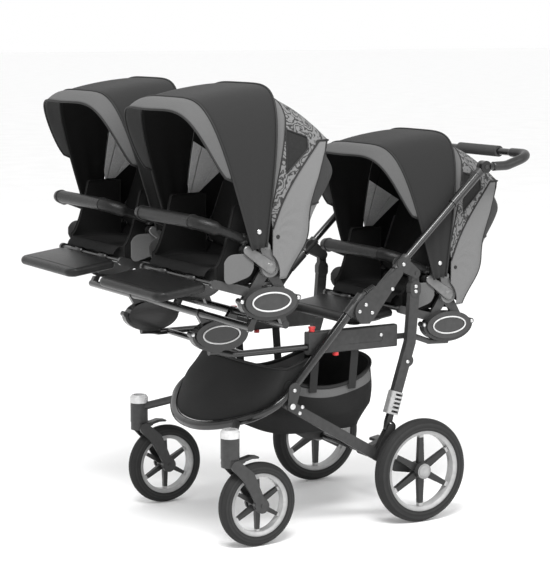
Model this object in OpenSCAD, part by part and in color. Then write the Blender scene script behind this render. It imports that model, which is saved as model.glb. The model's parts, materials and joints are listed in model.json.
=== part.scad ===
/* [Wheels] */
// Radius of the rear wheels over the tyre
rear_wheel_r = 145; // [135:1:150]
// Radius at which the rear tyre meets its rim
rear_rim_r = 113; // [105:1:118]
// Width of the rear tyres
rear_tyre_w = 44; // [38:1:46]
// Half distance between the middles of the rear wheels
rear_track = 279; // [278:1:290]
// Radius of the front wheels over the tyre
front_wheel_r = 113; // [105:1:118]
// Radius at which the front tyre meets its rim
front_rim_r = 85; // [78:1:90]
// Width of the front tyres
front_tyre_w = 40; // [34:1:42]
// Radius of the rear wheel axle
rear_axle_r = 6; // [5:0.5:7]
// Radius of the front wheel bolts
front_axle_r = 5; // [4:0.5:6]
// Number of spokes in each wheel
spoke_count = 6; // [5:1:8]

/* [Casters] */
// Half distance between the swivel axes
caster_x = 270; // [266:1:280]
// Place of the swivel axes in front of the rear axle
caster_reach = 594; // [580:1:600]
// Distance from the swivel axis back to the front axle
caster_trail = 80; // [70:1:84]
// Radius of the swivel posts
post_r = 25; // [22:0.5:27]
// Radius of the swivel spindle
spindle_r = 10; // [8:0.5:12]

/* [Frame] */
// Half distance between the side tubes
tube_x = 243; // [242:1:248]
// Radius of the lower side tubes
hoop_r = 12; // [10:0.5:13]
// Radius of the push tubes
push_r = 10; // [8:0.5:11]
// Place of the front cross tube before the rear axle
hoop_reach = 578; // [570:1:585]
// Height of the front cross tube
hoop_front_z = 289; // [284:1:294]
// Place of the tops of the side tubes before the rear axle
hoop_top_reach = 173; // [170:1:176]
// Height of the tops of the side tubes
hoop_top_z = 638; // [634:1:642]
// Length of the steep stretch of the side tube
hoop_high_len = 352; // [346:1:358]
// Slope of the steep stretch in degrees
hoop_high_slope = 47; // [46:0.5:48]
// Slope of the push tubes in degrees
push_slope = 43; // [42:0.5:44]
// Distance from the fold pivot to the handle joint
push_len = 549; // [540:1:560]
// Radius of the fold pivot pins
fold_pin_r = 6; // [5:0.5:7]
// Thickness of the rear legs across the frame
leg_t = 17; // [14:0.5:18]
// Width of the rear legs seen from the side
leg_w = 30; // [26:1:32]
// Thickness of the swing arms across the frame
arm_t = 16; // [13:0.5:17]
// Width of the swing arms seen from the side
arm_w = 32; // [28:1:34]

/* [Handle] */
// Length of the handle from its joint to the cross bar
handle_len = 162; // [150:1:170]
// Rise of the handle from its joint to the cross bar
handle_rise = 29; // [20:1:35]
// Radius of the handle tube
handle_r = 10; // [8:0.5:11]
// Radius of the foam grip
grip_r = 16; // [14:0.5:18]
// Length of the foam grip
grip_len = 190; // [150:5:220]

/* [Seat carriers] */
// Half distance between the two mounts of a seat
seat_mount_x = 201; // [199:0.5:202]
// Length of a mount oval
oval_w = 148; // [140:1:152]
// Height of a mount oval
oval_h = 76; // [70:1:80]
// Thickness of the cradle bands
band_t = 9; // [7:0.5:10]
// Distance between the middles of the twin front seats
twin_pitch = 524; // [515:1:530]
// Place of the front seats before the rear axle
front_seat_reach = 589; // [580:1:595]
// Height of the front mounts on the carriage
carriage_z = 564; // [562:1:566]
// Height of the twin front seats above the carriage mounts
twin_rise = 120; // [118:1:126]
// Place of the rear seat behind the rear axle
rear_seat_back = 137; // [132:1:142]
// Height of the rear seat mounts
rear_seat_z = 532; // [528:1:536]
// Middle of the rail boxes across the frame
rail_x = 217; // [216:0.5:217.5]
// Width of the rail boxes
rail_w = 24; // [23:0.5:26]
// Radius of the sliding carriage tubes
carriage_r = 9; // [7:0.5:10]

/* [Seats] */
// Half width of the hood
hood_half_w = 226; // [224:0.5:228]
// Height of the front bow over its pivot line
front_bow_h = 481; // [470:1:490]
// Height of the rear bow over its pivot line
rear_bow_h = 496; // [490:1:505]
// Forward lean of the front bow in degrees
front_bow_lean = 16.8; // [14:0.2:19]
// Forward lean of the rear bow in degrees
rear_bow_lean = -7.4; // [-9:0.2:-6]
// Length of the visor at its middle
visor_len = 70; // [50:1:85]
// Drop of the visor in degrees
visor_drop = 24; // [15:1:30]
// Thickness of the hood fabric with its lining
hood_t = 3; // [2.5:0.1:3.4]
// Backward lean of the backrest in degrees
back_lean = 21; // [19:0.5:23]
// Height of the backrest above the mounts
back_top = 395; // [380:1:400]
// Length of the footrest board
foot_len = 142; // [130:1:150]
// Half width of the footrest board
foot_half_w = 180; // [165:1:184]
// Thickness of the footrest board
foot_t = 24; // [18:1:26]
// Slope of the footrest in degrees
foot_slope = 8; // [4:0.5:12]
// Radius of the bumper bar tube
bar_r = 11; // [9:0.5:12]
// Radius of the bumper bar foam
bar_foam_r = 18; // [16:0.5:20]
// Distance of the bumper bar before the mounts
bar_reach = 178; // [170:1:190]

/* [Basket] */
// Half width of the basket rim
basket_half_w = 203; // [190:1:204]
// Height of the basket floor
basket_floor_z = 262; // [255:1:275]
// Thickness of the basket cloth
cloth_t = 4; // [3:0.5:5]

/* [Fits] */
// Radial clearance of turning and sliding fits
run_gap = 0.05; // [0.02:0.01:0.08]
// Gap between pieces that lie beside each other
side_gap = 0.3; // [0.2:0.05:0.4]

/* [Hidden] */
$fn = 48;

// Points of the frame in its side view are [y, z], with y behind the rear axle
function along(p, slope, d) = p + d * [cos(slope), sin(slope)];
function below(p, slope, d) = p + d * [sin(slope), -cos(slope)];
function side(x, p) = [x, p[0], p[1]];
function unit(v) = v / norm(v);
function mix(a, b, f) = a + (b - a) * f;

hoop_front = [-hoop_reach, hoop_front_z];
hoop_top = [-hoop_top_reach, hoop_top_z];
hoop_knee = along(hoop_top, hoop_high_slope, -hoop_high_len);
hoop_low = hoop_knee - hoop_front;
hoop_low_len = norm(hoop_low);
hoop_low_slope = atan2(hoop_low[1], hoop_low[0]);
hoop_knee_r = 120;

// In the plane of the low stretches the front is bent twice on each side, almost to a half ellipse
hoop_nose_x = tube_x * 0.41;
hoop_side_d = hoop_low_len * 0.59;
hoop_nose_turn = atan2(hoop_side_d, tube_x - hoop_nose_x);
hoop_nose_r = 0.96 * hoop_nose_x / tan(hoop_nose_turn / 2);
hoop_side_r = hoop_low_len * 0.58;
function on_low(x, d) = [x, -hoop_reach + d * cos(hoop_low_slope), hoop_front_z + d * sin(hoop_low_slope)];

// Hem of the cloth panel in the front of the hoop: in its middle, beside the knees and on the side tubes
hem_front = hoop_knee + [-38, 78];
hem_side = hoop_knee + [20, 74];
hem_end = along(hoop_knee, hoop_high_slope, 130);

// The fold pivot lies under the top of the side tube, and the push tube points at it
fold_drop = 27;
fold_pivot = below(along(hoop_top, hoop_high_slope, -fold_drop), hoop_high_slope, fold_drop);
socket_len = 66;
socket_r = hoop_r + 3;
socket_lug_t = 22;
nose_slope = 25;
nose_r = 8;
nose_len = 48;
collar_r = 12;
collar_len = 30;
collar_start = 15;
rib_count = 6;
push_start = 84;
cover_sleeve_r = push_r + 4;
cover_sleeve_len = 60;
cover_t = 7;
cover_x = tube_x + socket_r + side_gap;
cover_pivot_r = 34;
cover_tip_r = 14;
joint_sleeve = [405, 515];

// The rear leg hangs from a bracket on the push tube
leg_pin_r = 5;
leg_pivot = below(along(fold_pivot, push_slope, 186), push_slope, 49);
leg_cap_z = 41;
leg_bend = [leg_pivot[0] - 12, leg_pivot[1] - 191];
shock_top = [leg_pivot[0] - 55, leg_pivot[1] - 325];
shock_bottom = [leg_pivot[0] - 74, leg_pivot[1] - 386];
shock_slope = atan2(shock_top[1] - shock_bottom[1], shock_top[0] - shock_bottom[0]);
shock_pivot = [leg_pivot[0] - 76, leg_pivot[1] - 423];
shock_travel = 24;
cover_wall = 4;
plunger_t = 14;
plunger_w = 18;
plunger_rod_r = 4;
spring_r = 6.4;
spring_wire_r = 1.2;
spring_turns = 6;
bracket_ear_t = 4;

// The swing arm turns under the knee of the side tube and carries the rear axle
swing_pin_r = 5;
swing_pivot = below(along(hoop_knee, hoop_high_slope, -5), hoop_high_slope, 24);
swing_mid = [-60, rear_wheel_r + 13];
axle = [0, rear_wheel_r];
axle_tube_r = rear_axle_r + 4;
open_pin_r = 5;
open_pin_room = 8;
ear_t = 3;

fork_gap = 3.5;
fork_blade_t = 8;
fork_head_z = 2 * front_wheel_r - 4;
fork_head_h = 22;
post_base_z = fork_head_z + fork_head_h + side_gap;
ring_z = hoop_front_z + 11;
ring_h = 22;
front_axle_y = caster_trail - caster_reach;
lever_pin_r = 3;

handle_x = tube_x + 6.5;
handle_joint = along(fold_pivot, push_slope, push_len);
handle_bend = 48;
joint_disc_r = 17;
joint_pin_r = 6;

rail_z = [488, 550];
rail_y = [-330, -46];
carriage_tube_z = 508;
knob_r = 8;
knob_travel = 3;
cradle_w = 22;
oval_t = 32;
beam_r = 10;
beam_z = carriage_z + oval_h / 2 + 20;
beam_front = -55;
beam_back = 45;

// Seat points are [y, z] from the middle of the seat's mount ovals
hub = [0, 86];
hub_pin_r = 7;
hub_plate_x = seat_mount_x - 7;
hub_plate_t = 10;
recline_x = hub_plate_x + hub_plate_t / 2 + side_gap;
recline_t = 11.5;
foot_rod = [-150, 52];
foot_rod_r = 6;
bar_post = [-66, 132];
bar_pin_r = 5;
bar_z = 202;
bow_foot = [-32, 43];
bow_power = 4.9;
hood_pivot = [-15, 140];
bow_start = 11;
visor_start = 30;
hood_columns = 18;
cover_half_w = hood_half_w - hood_t - 4;
cover_cloth_t = 4;
bow_inset = 13;
hood_pivot_rise = (hood_pivot - bow_foot) * [-sin(rear_bow_lean), cos(rear_bow_lean)];
back_foot = [52, 50];
back_belly = 24;
wing_front_z = 182;
tub_half_w = hub_plate_x - bar_r - 2.5;
tub_low = oval_h / 2 + 4;
cover_low = 78;
back_crown = 40;
back_corner_r = 34;
pouch_depth = 78;

// The origin is under the middle of the whole outline
front_end = -front_seat_reach + foot_rod[0] - (foot_len + 8) * cos(foot_slope) - foot_t / 2 * sin(foot_slope);
back_end = handle_joint[0] + handle_len + grip_r;
middle = (front_end + back_end) / 2;

black = "#1c1c1e";
frame_grey = "#3a3a3d";
plastic_grey = "#4a4a4d";
fabric_dark = "#3c3c3e";
fabric_grey = "#77787a";
silver = "#b9bbbd";

module place() {
  translate([0, -middle, 0]) children();
}

module both() {
  children();
  mirror([1, 0, 0]) children();
}

// Round bar between two points
module rod(a, b, r) {
  d = b - a;
  translate(a)
    rotate([0, acos(d[2] / norm(d)), atan2(d[1], d[0])])
      cylinder(h = norm(d), r = r);
}

// Pin along X through a side view point
module pin(x0, x1, p, r) {
  translate([x0, p[0], p[1]]) rotate([0, 90, 0]) cylinder(h = x1 - x0, r = r);
}

// Tube through a list of points, with a bend of its own at each inner point
// The bends are a little fuller than the straights, which end inside them
bend_swell = 0.3;
bend_lap = 1.5;
side_tuck = 0.08;

module bent_tube(points, bends, r) {
  last = len(points) - 1;
  function turn(i) =
    let (a = unit(points[i - 1] - points[i]), b = unit(points[i + 1] - points[i]))
      180 - acos(a * b);
  function setback(i) = i == 0 || i == last ? 0 : bends[i] * tan(turn(i) / 2);
  function trim(i) = i == 0 || i == last ? 0 : setback(i) - bend_lap;
  for (i = [0 : last - 1]) {
    d = unit(points[i + 1] - points[i]);
    rod(points[i] + d * trim(i), points[i + 1] - d * trim(i + 1), r);
  }
  for (i = [1 : last - 1]) {
    a = unit(points[i - 1] - points[i]);
    b = unit(points[i + 1] - points[i]);
    centre = points[i] + unit(a + b) * bends[i] / cos(turn(i) / 2);
    e = unit(points[i] + a * setback(i) - centre);
    n = unit(cross(e, unit(points[i] + b * setback(i) - centre)));
    f = cross(n, e);
    multmatrix([
      [e[0], f[0], n[0], centre[0]],
      [e[1], f[1], n[1], centre[1]],
      [e[2], f[2], n[2], centre[2]],
      [0, 0, 0, 1]
    ])
      rotate_extrude(angle = turn(i))
        translate([bends[i], 0]) circle(r = r + bend_swell);
  }
}

// Outline that runs from one circle to another
module taper(a, b, ra, rb) {
  d = norm(b - a);
  tilt = acos((ra - rb) / d);
  translate(a)
    rotate(atan2(b[1] - a[1], b[0] - a[0])) {
      circle(r = ra);
      translate([d, 0]) circle(r = rb);
      polygon([
        (ra - side_tuck) * [cos(tilt), sin(tilt)],
        [d, 0] + (rb - side_tuck) * [cos(tilt), sin(tilt)],
        [d, 0] + (rb - side_tuck) * [cos(tilt), -sin(tilt)],
        (ra - side_tuck) * [cos(tilt), -sin(tilt)]
      ]);
    }
}

function crossing(a, b, c, d) =
  let (u = b - a, v = d - c, w = c - a) a + u * (w[0] * v[1] - w[1] * v[0]) / (u[0] * v[1] - u[1] * v[0]);

// Arm through three points with a radius at each: round ends and a mitred bend
module limb(points, radii) {
  function heading(i) = atan2(points[i + 1][1] - points[i][1], points[i + 1][0] - points[i][0]);
  function tilt(i) = acos((radii[i] - radii[i + 1]) / norm(points[i + 1] - points[i]));
  function edge(i, k, s) =
    points[k] + (radii[k] - side_tuck) * [cos(heading(i) + s * tilt(i)), sin(heading(i) + s * tilt(i))];
  function corner(s) = crossing(edge(0, 0, s), edge(0, 1, s), edge(1, 1, s), edge(1, 2, s));
  for (k = [0, 2])
    translate(points[k]) circle(r = radii[k]);
  polygon([edge(0, 0, 1), corner(1), edge(1, 2, 1), edge(1, 2, -1), corner(-1), edge(0, 0, -1)]);
}

// Plate whose outline is drawn in the side view
module plate(x, t) {
  translate([x - t / 2, 0, 0])
    rotate([90, 0, 90])
      linear_extrude(t) children();
}

// Prism along a strut of the side view, with its section across X
module strut(x, from, to) {
  d = to - from;
  translate(side(x, from))
    rotate([-atan2(d[0], d[1]), 0, 0])
      linear_extrude(norm(d)) children();
}

module rounded_box(w, h, r) {
  square([w - 2 * r, h], center = true);
  square([w, h - 2 * r], center = true);
  for (sx = [-1, 1], sy = [-1, 1])
    translate([sx * (w / 2 - r), sy * (h / 2 - r)]) circle(r = r);
}

module oval(w, h) {
  steps = 40;
  polygon([for (i = [0 : steps - 1]) [w / 2 * cos(i * 360 / steps), h / 2 * sin(i * 360 / steps)]]);
}

// Closed sheet between an outer and an inner grid of points
module sheet(outer, inner) {
  rows = len(outer);
  cols = len(outer[0]);
  count = rows * cols;
  function o(r, c) = r * cols + c;
  function i(r, c) = count + r * cols + c;
  function quad(a, b, c, d) = [[a, b, c], [a, c, d]];
  faces = concat(
    [for (r = [0 : rows - 2], c = [0 : cols - 2]) each quad(o(r, c), o(r, c + 1), o(r + 1, c + 1), o(r + 1, c))],
    [for (r = [0 : rows - 2], c = [0 : cols - 2]) each quad(i(r, c), i(r + 1, c), i(r + 1, c + 1), i(r, c + 1))],
    [for (c = [0 : cols - 2]) each quad(o(0, c), i(0, c), i(0, c + 1), o(0, c + 1))],
    [for (c = [0 : cols - 2]) each quad(o(rows - 1, c), o(rows - 1, c + 1), i(rows - 1, c + 1), i(rows - 1, c))],
    [for (r = [0 : rows - 2]) each quad(o(r, 0), o(r + 1, 0), i(r + 1, 0), i(r, 0))],
    [for (r = [0 : rows - 2])
      each quad(o(r, cols - 1), i(r, cols - 1), i(r + 1, cols - 1), o(r + 1, cols - 1))]
  );
  polyhedron([for (grid = [outer, inner]) each [for (row = grid) each row]], faces);
}

// Lower side tubes and front cross tube in one bent hoop
hoop_path = [
  side(tube_x, hoop_top), side(tube_x, hoop_knee), on_low(tube_x, hoop_side_d), on_low(hoop_nose_x, 0),
  on_low(-hoop_nose_x, 0), on_low(-tube_x, hoop_side_d), side(-tube_x, hoop_knee), side(-tube_x, hoop_top)
];
hoop_bends = [0, hoop_knee_r, hoop_side_r, hoop_nose_r, hoop_nose_r, hoop_side_r, hoop_knee_r, 0];

module front_hoop() {
  color(frame_grey) bent_tube(hoop_path, hoop_bends, hoop_r);
}

// Cheek plates under the knees that hold the swing arm bolts
module swing_brackets() {
  cheek_x = max(hoop_r, arm_t / 2) + side_gap + ear_t / 2;
  grip = along(hoop_knee, hoop_high_slope, 34);
  color(plastic_grey)
    both() for (s = [-1, 1])
      difference() {
        plate(tube_x + s * cheek_x, ear_t) {
          taper(grip, swing_pivot, 18, 13);
        }
        pin(tube_x - 40, tube_x + 40, swing_pivot, swing_pin_r + run_gap);
      }
}

// Swivel posts with the arms that join them to the hoop
module caster_posts() {
  joined = mix(on_low(hoop_nose_x, 0), on_low(tube_x, hoop_side_d), 0.56);
  color(frame_grey)
    both()
      difference() {
        union() {
          translate([caster_x, -caster_reach, post_base_z]) cylinder(h = ring_z - post_base_z, r = post_r);
          rod([caster_x, -caster_reach, ring_z - 16], joined, hoop_r - 1);
        }
        translate([caster_x, -caster_reach, 0]) cylinder(h = 2 * ring_z, r = spindle_r + run_gap);
        translate([caster_x, -caster_reach, ring_z]) cylinder(h = ring_h + 1, r = post_r + 2);
      }
}

// Pale collars on top of the swivel posts
module caster_rings() {
  color(silver)
    both() translate([caster_x, -caster_reach, ring_z])
      rotate_extrude()
        polygon([
          [spindle_r + 5, 0], [post_r + 1, 0], [post_r + 1, ring_h - 7],
          [post_r - 4, ring_h], [spindle_r + 5, ring_h]
        ]);
}

// Sockets on the tops of the side tubes with the lugs of the fold pivots
module hinge_sockets() {
  low = along(hoop_top, hoop_high_slope, -socket_len);
  cap = along(hoop_top, hoop_high_slope, 1.5);
  nose = along(hoop_top, nose_slope, nose_len);
  color(plastic_grey)
    both()
      difference() {
        union() {
          rod(side(tube_x, low), side(tube_x, cap), socket_r);
          plate(tube_x, socket_lug_t) taper(along(hoop_top, hoop_high_slope, -fold_drop), fold_pivot, 13.4, 16);
          rod(side(tube_x, hoop_top), side(tube_x, nose), nose_r);
        }
        rod(side(tube_x, along(low, hoop_high_slope, -5)), side(tube_x, hoop_top), hoop_r + run_gap);
        pin(tube_x - 30, tube_x + 30, fold_pivot, fold_pin_r + run_gap);
      }
}

// Ribbed sleeves that are drawn back to free the fold
module release_collars() {
  start = along(hoop_top, nose_slope, collar_start);
  rib_w = collar_len / (2 * rib_count - 1);
  color(black)
    both()
      difference() {
        union() {
          rod(side(tube_x, start), side(tube_x, along(start, nose_slope, collar_len)), collar_r - 2);
          for (i = [0 : rib_count - 1])
            rod(
              side(tube_x, along(start, nose_slope, 2 * i * rib_w)),
              side(tube_x, along(start, nose_slope, (2 * i + 1) * rib_w)),
              collar_r
            );
        }
        rod(
          side(tube_x, along(start, nose_slope, -1)),
          side(tube_x, along(start, nose_slope, collar_len + 1)),
          nose_r + run_gap
        );
      }
}

// Long boxes inside the side tubes in which the carriage slides
module rails() {
  depth = rail_y[1] - rail_y[0];
  spacer = along(hoop_knee, hoop_high_slope, 168);
  color(plastic_grey)
    both()
      difference() {
        union() {
          translate([rail_x, rail_y[0], (rail_z[0] + rail_z[1]) / 2])
            rotate([-90, 0, 0])
              linear_extrude(depth) rounded_box(rail_w, rail_z[1] - rail_z[0], 6);
          pin(rail_x, tube_x - hoop_r + 1, spacer, 8);
        }
        translate([rail_x, rail_y[0] - 1, carriage_tube_z])
          rotate([-90, 0, 0]) cylinder(h = depth - 60, r = carriage_r + run_gap);
        for (k = knob_places)
          translate([rail_x, k[0], k[1]]) cylinder(h = 16, r = knob_r + run_gap, center = true);
        translate([rail_x + rail_w / 2 - 1, mix(rail_y[0], rail_y[1], 0.62), mix(rail_z[0], rail_z[1], 0.5)])
          rotate([0, 90, 0]) linear_extrude(2) rounded_box(24, 120, 8);
      }
}

// Red knobs: one on top of each rail box and one under it
knob_places = [[rail_y[0] + 16, rail_z[1]], [rail_y[0] + 92, rail_z[0]]];

module carriage_knobs() {
  color("#8c1520")
    both() {
      translate([rail_x, knob_places[0][0], knob_places[0][1] - 8 + knob_travel + side_gap]) {
        cylinder(h = 17, r = knob_r);
        translate([0, 0, 13]) cylinder(h = 5, r = knob_r + 1.5);
      }
      translate([rail_x, knob_places[1][0], knob_places[1][1] - 9])
        cylinder(h = 17 - knob_travel - side_gap, r = knob_r);
    }
}

// Open band that carries a mount oval from below
module cradle(x) {
  gap = side_gap;
  module mouth() {
    translate([-oval_w / 2 - gap - 0.2, -1]) square([oval_w + 2 * gap + 0.4, oval_h]);
  }
  plate(x, cradle_w) {
    difference() {
      oval(oval_w + 2 * (gap + band_t), oval_h + 2 * (gap + band_t));
      oval(oval_w + 2 * gap, oval_h + 2 * gap);
      translate([-oval_w, 6]) square([2 * oval_w, oval_h]);
      mouth();
    }
    for (s = [-1, 1])
      difference() {
        translate([s * (oval_w / 2 + gap + band_t / 2 + 2), 5]) circle(r = band_t / 2 + 3);
        oval(oval_w + 2 * gap, oval_h + 2 * gap);
        mouth();
      }
  }
}

// Cradles of the rear seat with the tubes that join them to the rails
module rear_cradles() {
  tube_r = 8;
  under = rear_seat_z - oval_h / 2 - tube_r - bend_swell - 3 * side_gap;
  foot = [rear_seat_back - oval_w / 2 + 16, under + 3];
  color(black)
    both() {
      translate([0, rear_seat_back, rear_seat_z]) cradle(seat_mount_x);
      bent_tube(
        [
          [rail_x, rail_y[1], carriage_tube_z + 6],
          [rail_x, rail_y[1] + 52, carriage_tube_z + 6],
          [seat_mount_x, foot[0], foot[1]],
          [seat_mount_x, rear_seat_back + 4, under]
        ],
        [0, 20, 20, 0], tube_r
      );
    }
}

// Front cradles on the two tubes that slide in the rails, with their cross tube
module carriage_frame() {
  inner_end = rail_y[0] + 190;
  cross = -front_seat_reach + 62;
  under = carriage_z - oval_h / 2 - carriage_r - bend_swell - 3 * side_gap;
  color(black) {
    both() {
      translate([0, -front_seat_reach, carriage_z]) cradle(seat_mount_x);
      rod([rail_x, cross, carriage_tube_z], [rail_x, inner_end, carriage_tube_z], carriage_r);
      bent_tube(
        [
          [rail_x, cross, carriage_tube_z],
          [rail_x, cross - 30, carriage_tube_z],
          [seat_mount_x, -front_seat_reach, under],
          [seat_mount_x, -front_seat_reach - 30, under + 1.5]
        ],
        [0, 12, 12, 0], carriage_r
      );
    }
    rod([-rail_x, cross, carriage_tube_z], [rail_x, cross, carriage_tube_z], carriage_r - 1);
  }
}

// Ovals that drop into the carriage, cross beams over them and a cradle for each mount of the twin seats
module twin_adapter() {
  top_z = carriage_z + twin_rise;
  color(black)
    translate([0, -front_seat_reach, 0]) {
      both() {
        translate([0, 0, carriage_z]) {
          plate(seat_mount_x, oval_t) oval(oval_w, oval_h);
          plate(seat_mount_x + oval_t / 2 + 0.75, 1.5)
            difference() {
              oval(oval_w * 0.76, oval_h * 0.66);
              oval(oval_w * 0.7, oval_h * 0.57);
            }
          plate(seat_mount_x, 14) {
            taper([-20, 10], [beam_front, beam_z - carriage_z], 18, 12);
            taper([20, 10], [beam_back, beam_z - carriage_z], 18, 12);
          }
        }
        for (x = [twin_pitch / 2 - seat_mount_x, twin_pitch / 2 + seat_mount_x])
          translate([0, 0, top_z]) {
            cradle(x);
            for (y = [beam_front, beam_back])
              plate(x, 16)
                polygon([
                  [y - 9, beam_z - top_z], [y + 9, beam_z - top_z],
                  [y * 0.8 + 9, -oval_h * 0.42 - band_t], [y * 0.8 - 9, -oval_h * 0.42 - band_t]
                ]);
          }
      }
      for (y = [beam_front, beam_back])
        pin(-twin_pitch / 2 - seat_mount_x - 9, twin_pitch / 2 + seat_mount_x + 9, [y, beam_z], beam_r);
    }
}

// Push tubes with the joint sleeves of their upper ends
module push_tubes() {
  color(frame_grey)
    both() {
      rod(
        side(tube_x, along(fold_pivot, push_slope, push_start)),
        side(tube_x, along(fold_pivot, push_slope, push_len - joint_disc_r)), push_r
      );
      rod(
        side(tube_x, along(fold_pivot, push_slope, joint_sleeve[0])),
        side(tube_x, along(fold_pivot, push_slope, joint_sleeve[1])), push_r + 3
      );
    }
}

// Brackets on the push tubes with the ears and pins of the rear legs
module upper_brackets() {
  ear_x = leg_t / 2 + side_gap + bracket_ear_t / 2;
  grip = along(fold_pivot, push_slope, 174);
  color(plastic_grey)
    both()
      difference() {
        union() {
          rod(
            side(tube_x, along(grip, push_slope, -24)), side(tube_x, along(grip, push_slope, 26)),
            push_r + 4
          );
          for (s = [-1, 1])
            plate(tube_x + s * ear_x, bracket_ear_t) taper(grip, leg_pivot, 20, 13);
          pin(tube_x - ear_x, tube_x + ear_x + 4, leg_pivot, leg_pin_r);
        }
        rod(
          side(tube_x, along(grip, push_slope, -60)), side(tube_x, along(grip, push_slope, 60)),
          push_r + run_gap
        );
      }
}

// Outer plates of the fold hinges, sleeved on the push tubes and pinned to the sockets
module hinge_covers() {
  sleeve = along(fold_pivot, push_slope, push_start);
  tip = along(sleeve, push_slope, cover_sleeve_len);
  color(plastic_grey)
    both()
      difference() {
        union() {
          rod(side(tube_x, sleeve), side(tube_x, tip), cover_sleeve_r);
          plate(cover_x + cover_t / 2, cover_t) taper(fold_pivot, tip, cover_pivot_r, cover_tip_r);
          plate((tube_x + cover_x + 1) / 2 + 4, cover_x - tube_x - 7)
            taper(along(sleeve, push_slope, 12), along(tip, push_slope, -12), 11, 11);
          pin(tube_x - socket_lug_t / 2 - 2, cover_x + 1, fold_pivot, fold_pin_r);
        }
        rod(
          side(tube_x, along(sleeve, push_slope, -1)), side(tube_x, along(tip, push_slope, 1)),
          push_r + run_gap
        );
      }
}

// Discs on the ends of the push tubes with the pins of the handle
module handle_joints() {
  inner = tube_x - 12;
  color(plastic_grey)
    both() {
      difference() {
        union() {
          pin(inner, tube_x - side_gap, handle_joint, joint_disc_r);
          rod(
            side(tube_x, along(handle_joint, push_slope, -joint_disc_r - 16)),
            side(tube_x, along(handle_joint, push_slope, -joint_disc_r + 1)), push_r + 3
          );
        }
        rod(
          side(tube_x, along(handle_joint, push_slope, -joint_disc_r - 20)),
          side(tube_x, along(handle_joint, push_slope, -joint_disc_r)), push_r + run_gap
        );
        pin(tube_x - side_gap, tube_x + 30, handle_joint, joint_disc_r + 1);
      }
      pin(inner, tube_x + 15, handle_joint, joint_pin_r);
    }
}

// Handle bar: discs on the pins, side arms and cross bar
handle_path = [
  side(handle_x, handle_joint + [joint_disc_r - 4, 0]),
  side(handle_x, handle_joint + [handle_len * 0.45, 1]),
  side(handle_x, handle_joint + [handle_len, handle_rise]),
  side(-handle_x, handle_joint + [handle_len, handle_rise]),
  side(-handle_x, handle_joint + [handle_len * 0.45, 1]),
  side(-handle_x, handle_joint + [joint_disc_r - 4, 0])
];
handle_bends = [0, 60, handle_bend, handle_bend, 60, 0];

module handle_bar() {
  color(black)
    difference() {
      union() {
        bent_tube(handle_path, handle_bends, handle_r);
        both() pin(tube_x + side_gap, tube_x + 13, handle_joint, joint_disc_r);
      }
      pin(-tube_x - 40, tube_x + 40, handle_joint, joint_pin_r + run_gap);
      both() pin(tube_x - 30, tube_x + side_gap, handle_joint, joint_disc_r + 2);
    }
}

module handle_grip() {
  bar = handle_joint + [handle_len, handle_rise];
  color(black)
    difference() {
      pin(-grip_len / 2, grip_len / 2, bar, grip_r);
      pin(-grip_len, grip_len, bar, handle_r + run_gap);
    }
}

// Flat rear legs with their eyes, caps and rear lugs
module rear_legs() {
  cap = leg_pivot - [0, leg_cap_z];
  color(frame_grey)
    both()
      difference() {
        union() {
          plate(tube_x, leg_t) {
            taper(leg_pivot, cap, 11, 12);
            limb([cap, leg_bend, shock_top], [leg_w / 2, leg_w / 2, leg_w / 2]);
            taper(mix(leg_bend, shock_top, 0.38) + [8, 0], mix(leg_bend, shock_top, 0.5), 16, 8);
          }
          plate(tube_x, leg_t + 4) taper(cap + [0, 4], cap - [0, 8], leg_w / 2 + 2, leg_w / 2 + 2);
        }
        pin(tube_x - 40, tube_x + 40, leg_pivot, leg_pin_r + run_gap);
        strut(tube_x, mix(shock_top, shock_bottom, 0.1), mix(shock_top, shock_bottom, 0.6))
          square([leg_t + 6, leg_w + 20], center = true);
      }
}

// Slotted sleeves round the springs at the feet of the legs
module shock_covers() {
  wide = leg_w + 2 * (cover_wall + side_gap);
  thick = leg_t + 2 * (cover_wall + side_gap);
  slot_count = 5;
  d = norm(shock_bottom - shock_top);
  color(silver)
    both()
      difference() {
        strut(tube_x, shock_bottom, shock_top) {
          difference() {
            rounded_box(thick, wide, 5);
            square([leg_t + 2 * side_gap, leg_w + 2 * side_gap], center = true);
          }
        }
        for (i = [0 : slot_count - 1])
          translate(side(tube_x, mix(shock_bottom, shock_top, (i + 0.7) / (slot_count + 0.4))))
            rotate([shock_slope - 90, 0, 0])
              translate([thick / 2, 4, 0]) cube([thick, leg_w - 8, d / slot_count / 2], center = true);
      }
}

// Coil springs inside the sleeves
spring_len = norm(shock_bottom - shock_top) - 22;

function coil_line(r, wire, turns, length) =
  [for (i = [0 : 8 * turns])
    [r * cos(i * 45), r * sin(i * 45), wire + (length - 2 * wire) * i / (8 * turns)]];

function coil_gap(line, wire) =
  min([for (i = [0 : len(line) - 6], j = [i + 5 : len(line) - 1]) norm(line[i] - line[j])]) - 2 * wire;

echo(str("Least gap of the spring to itself: ",
  coil_gap(coil_line(spring_r, spring_wire_r, spring_turns, spring_len), spring_wire_r)));

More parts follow.
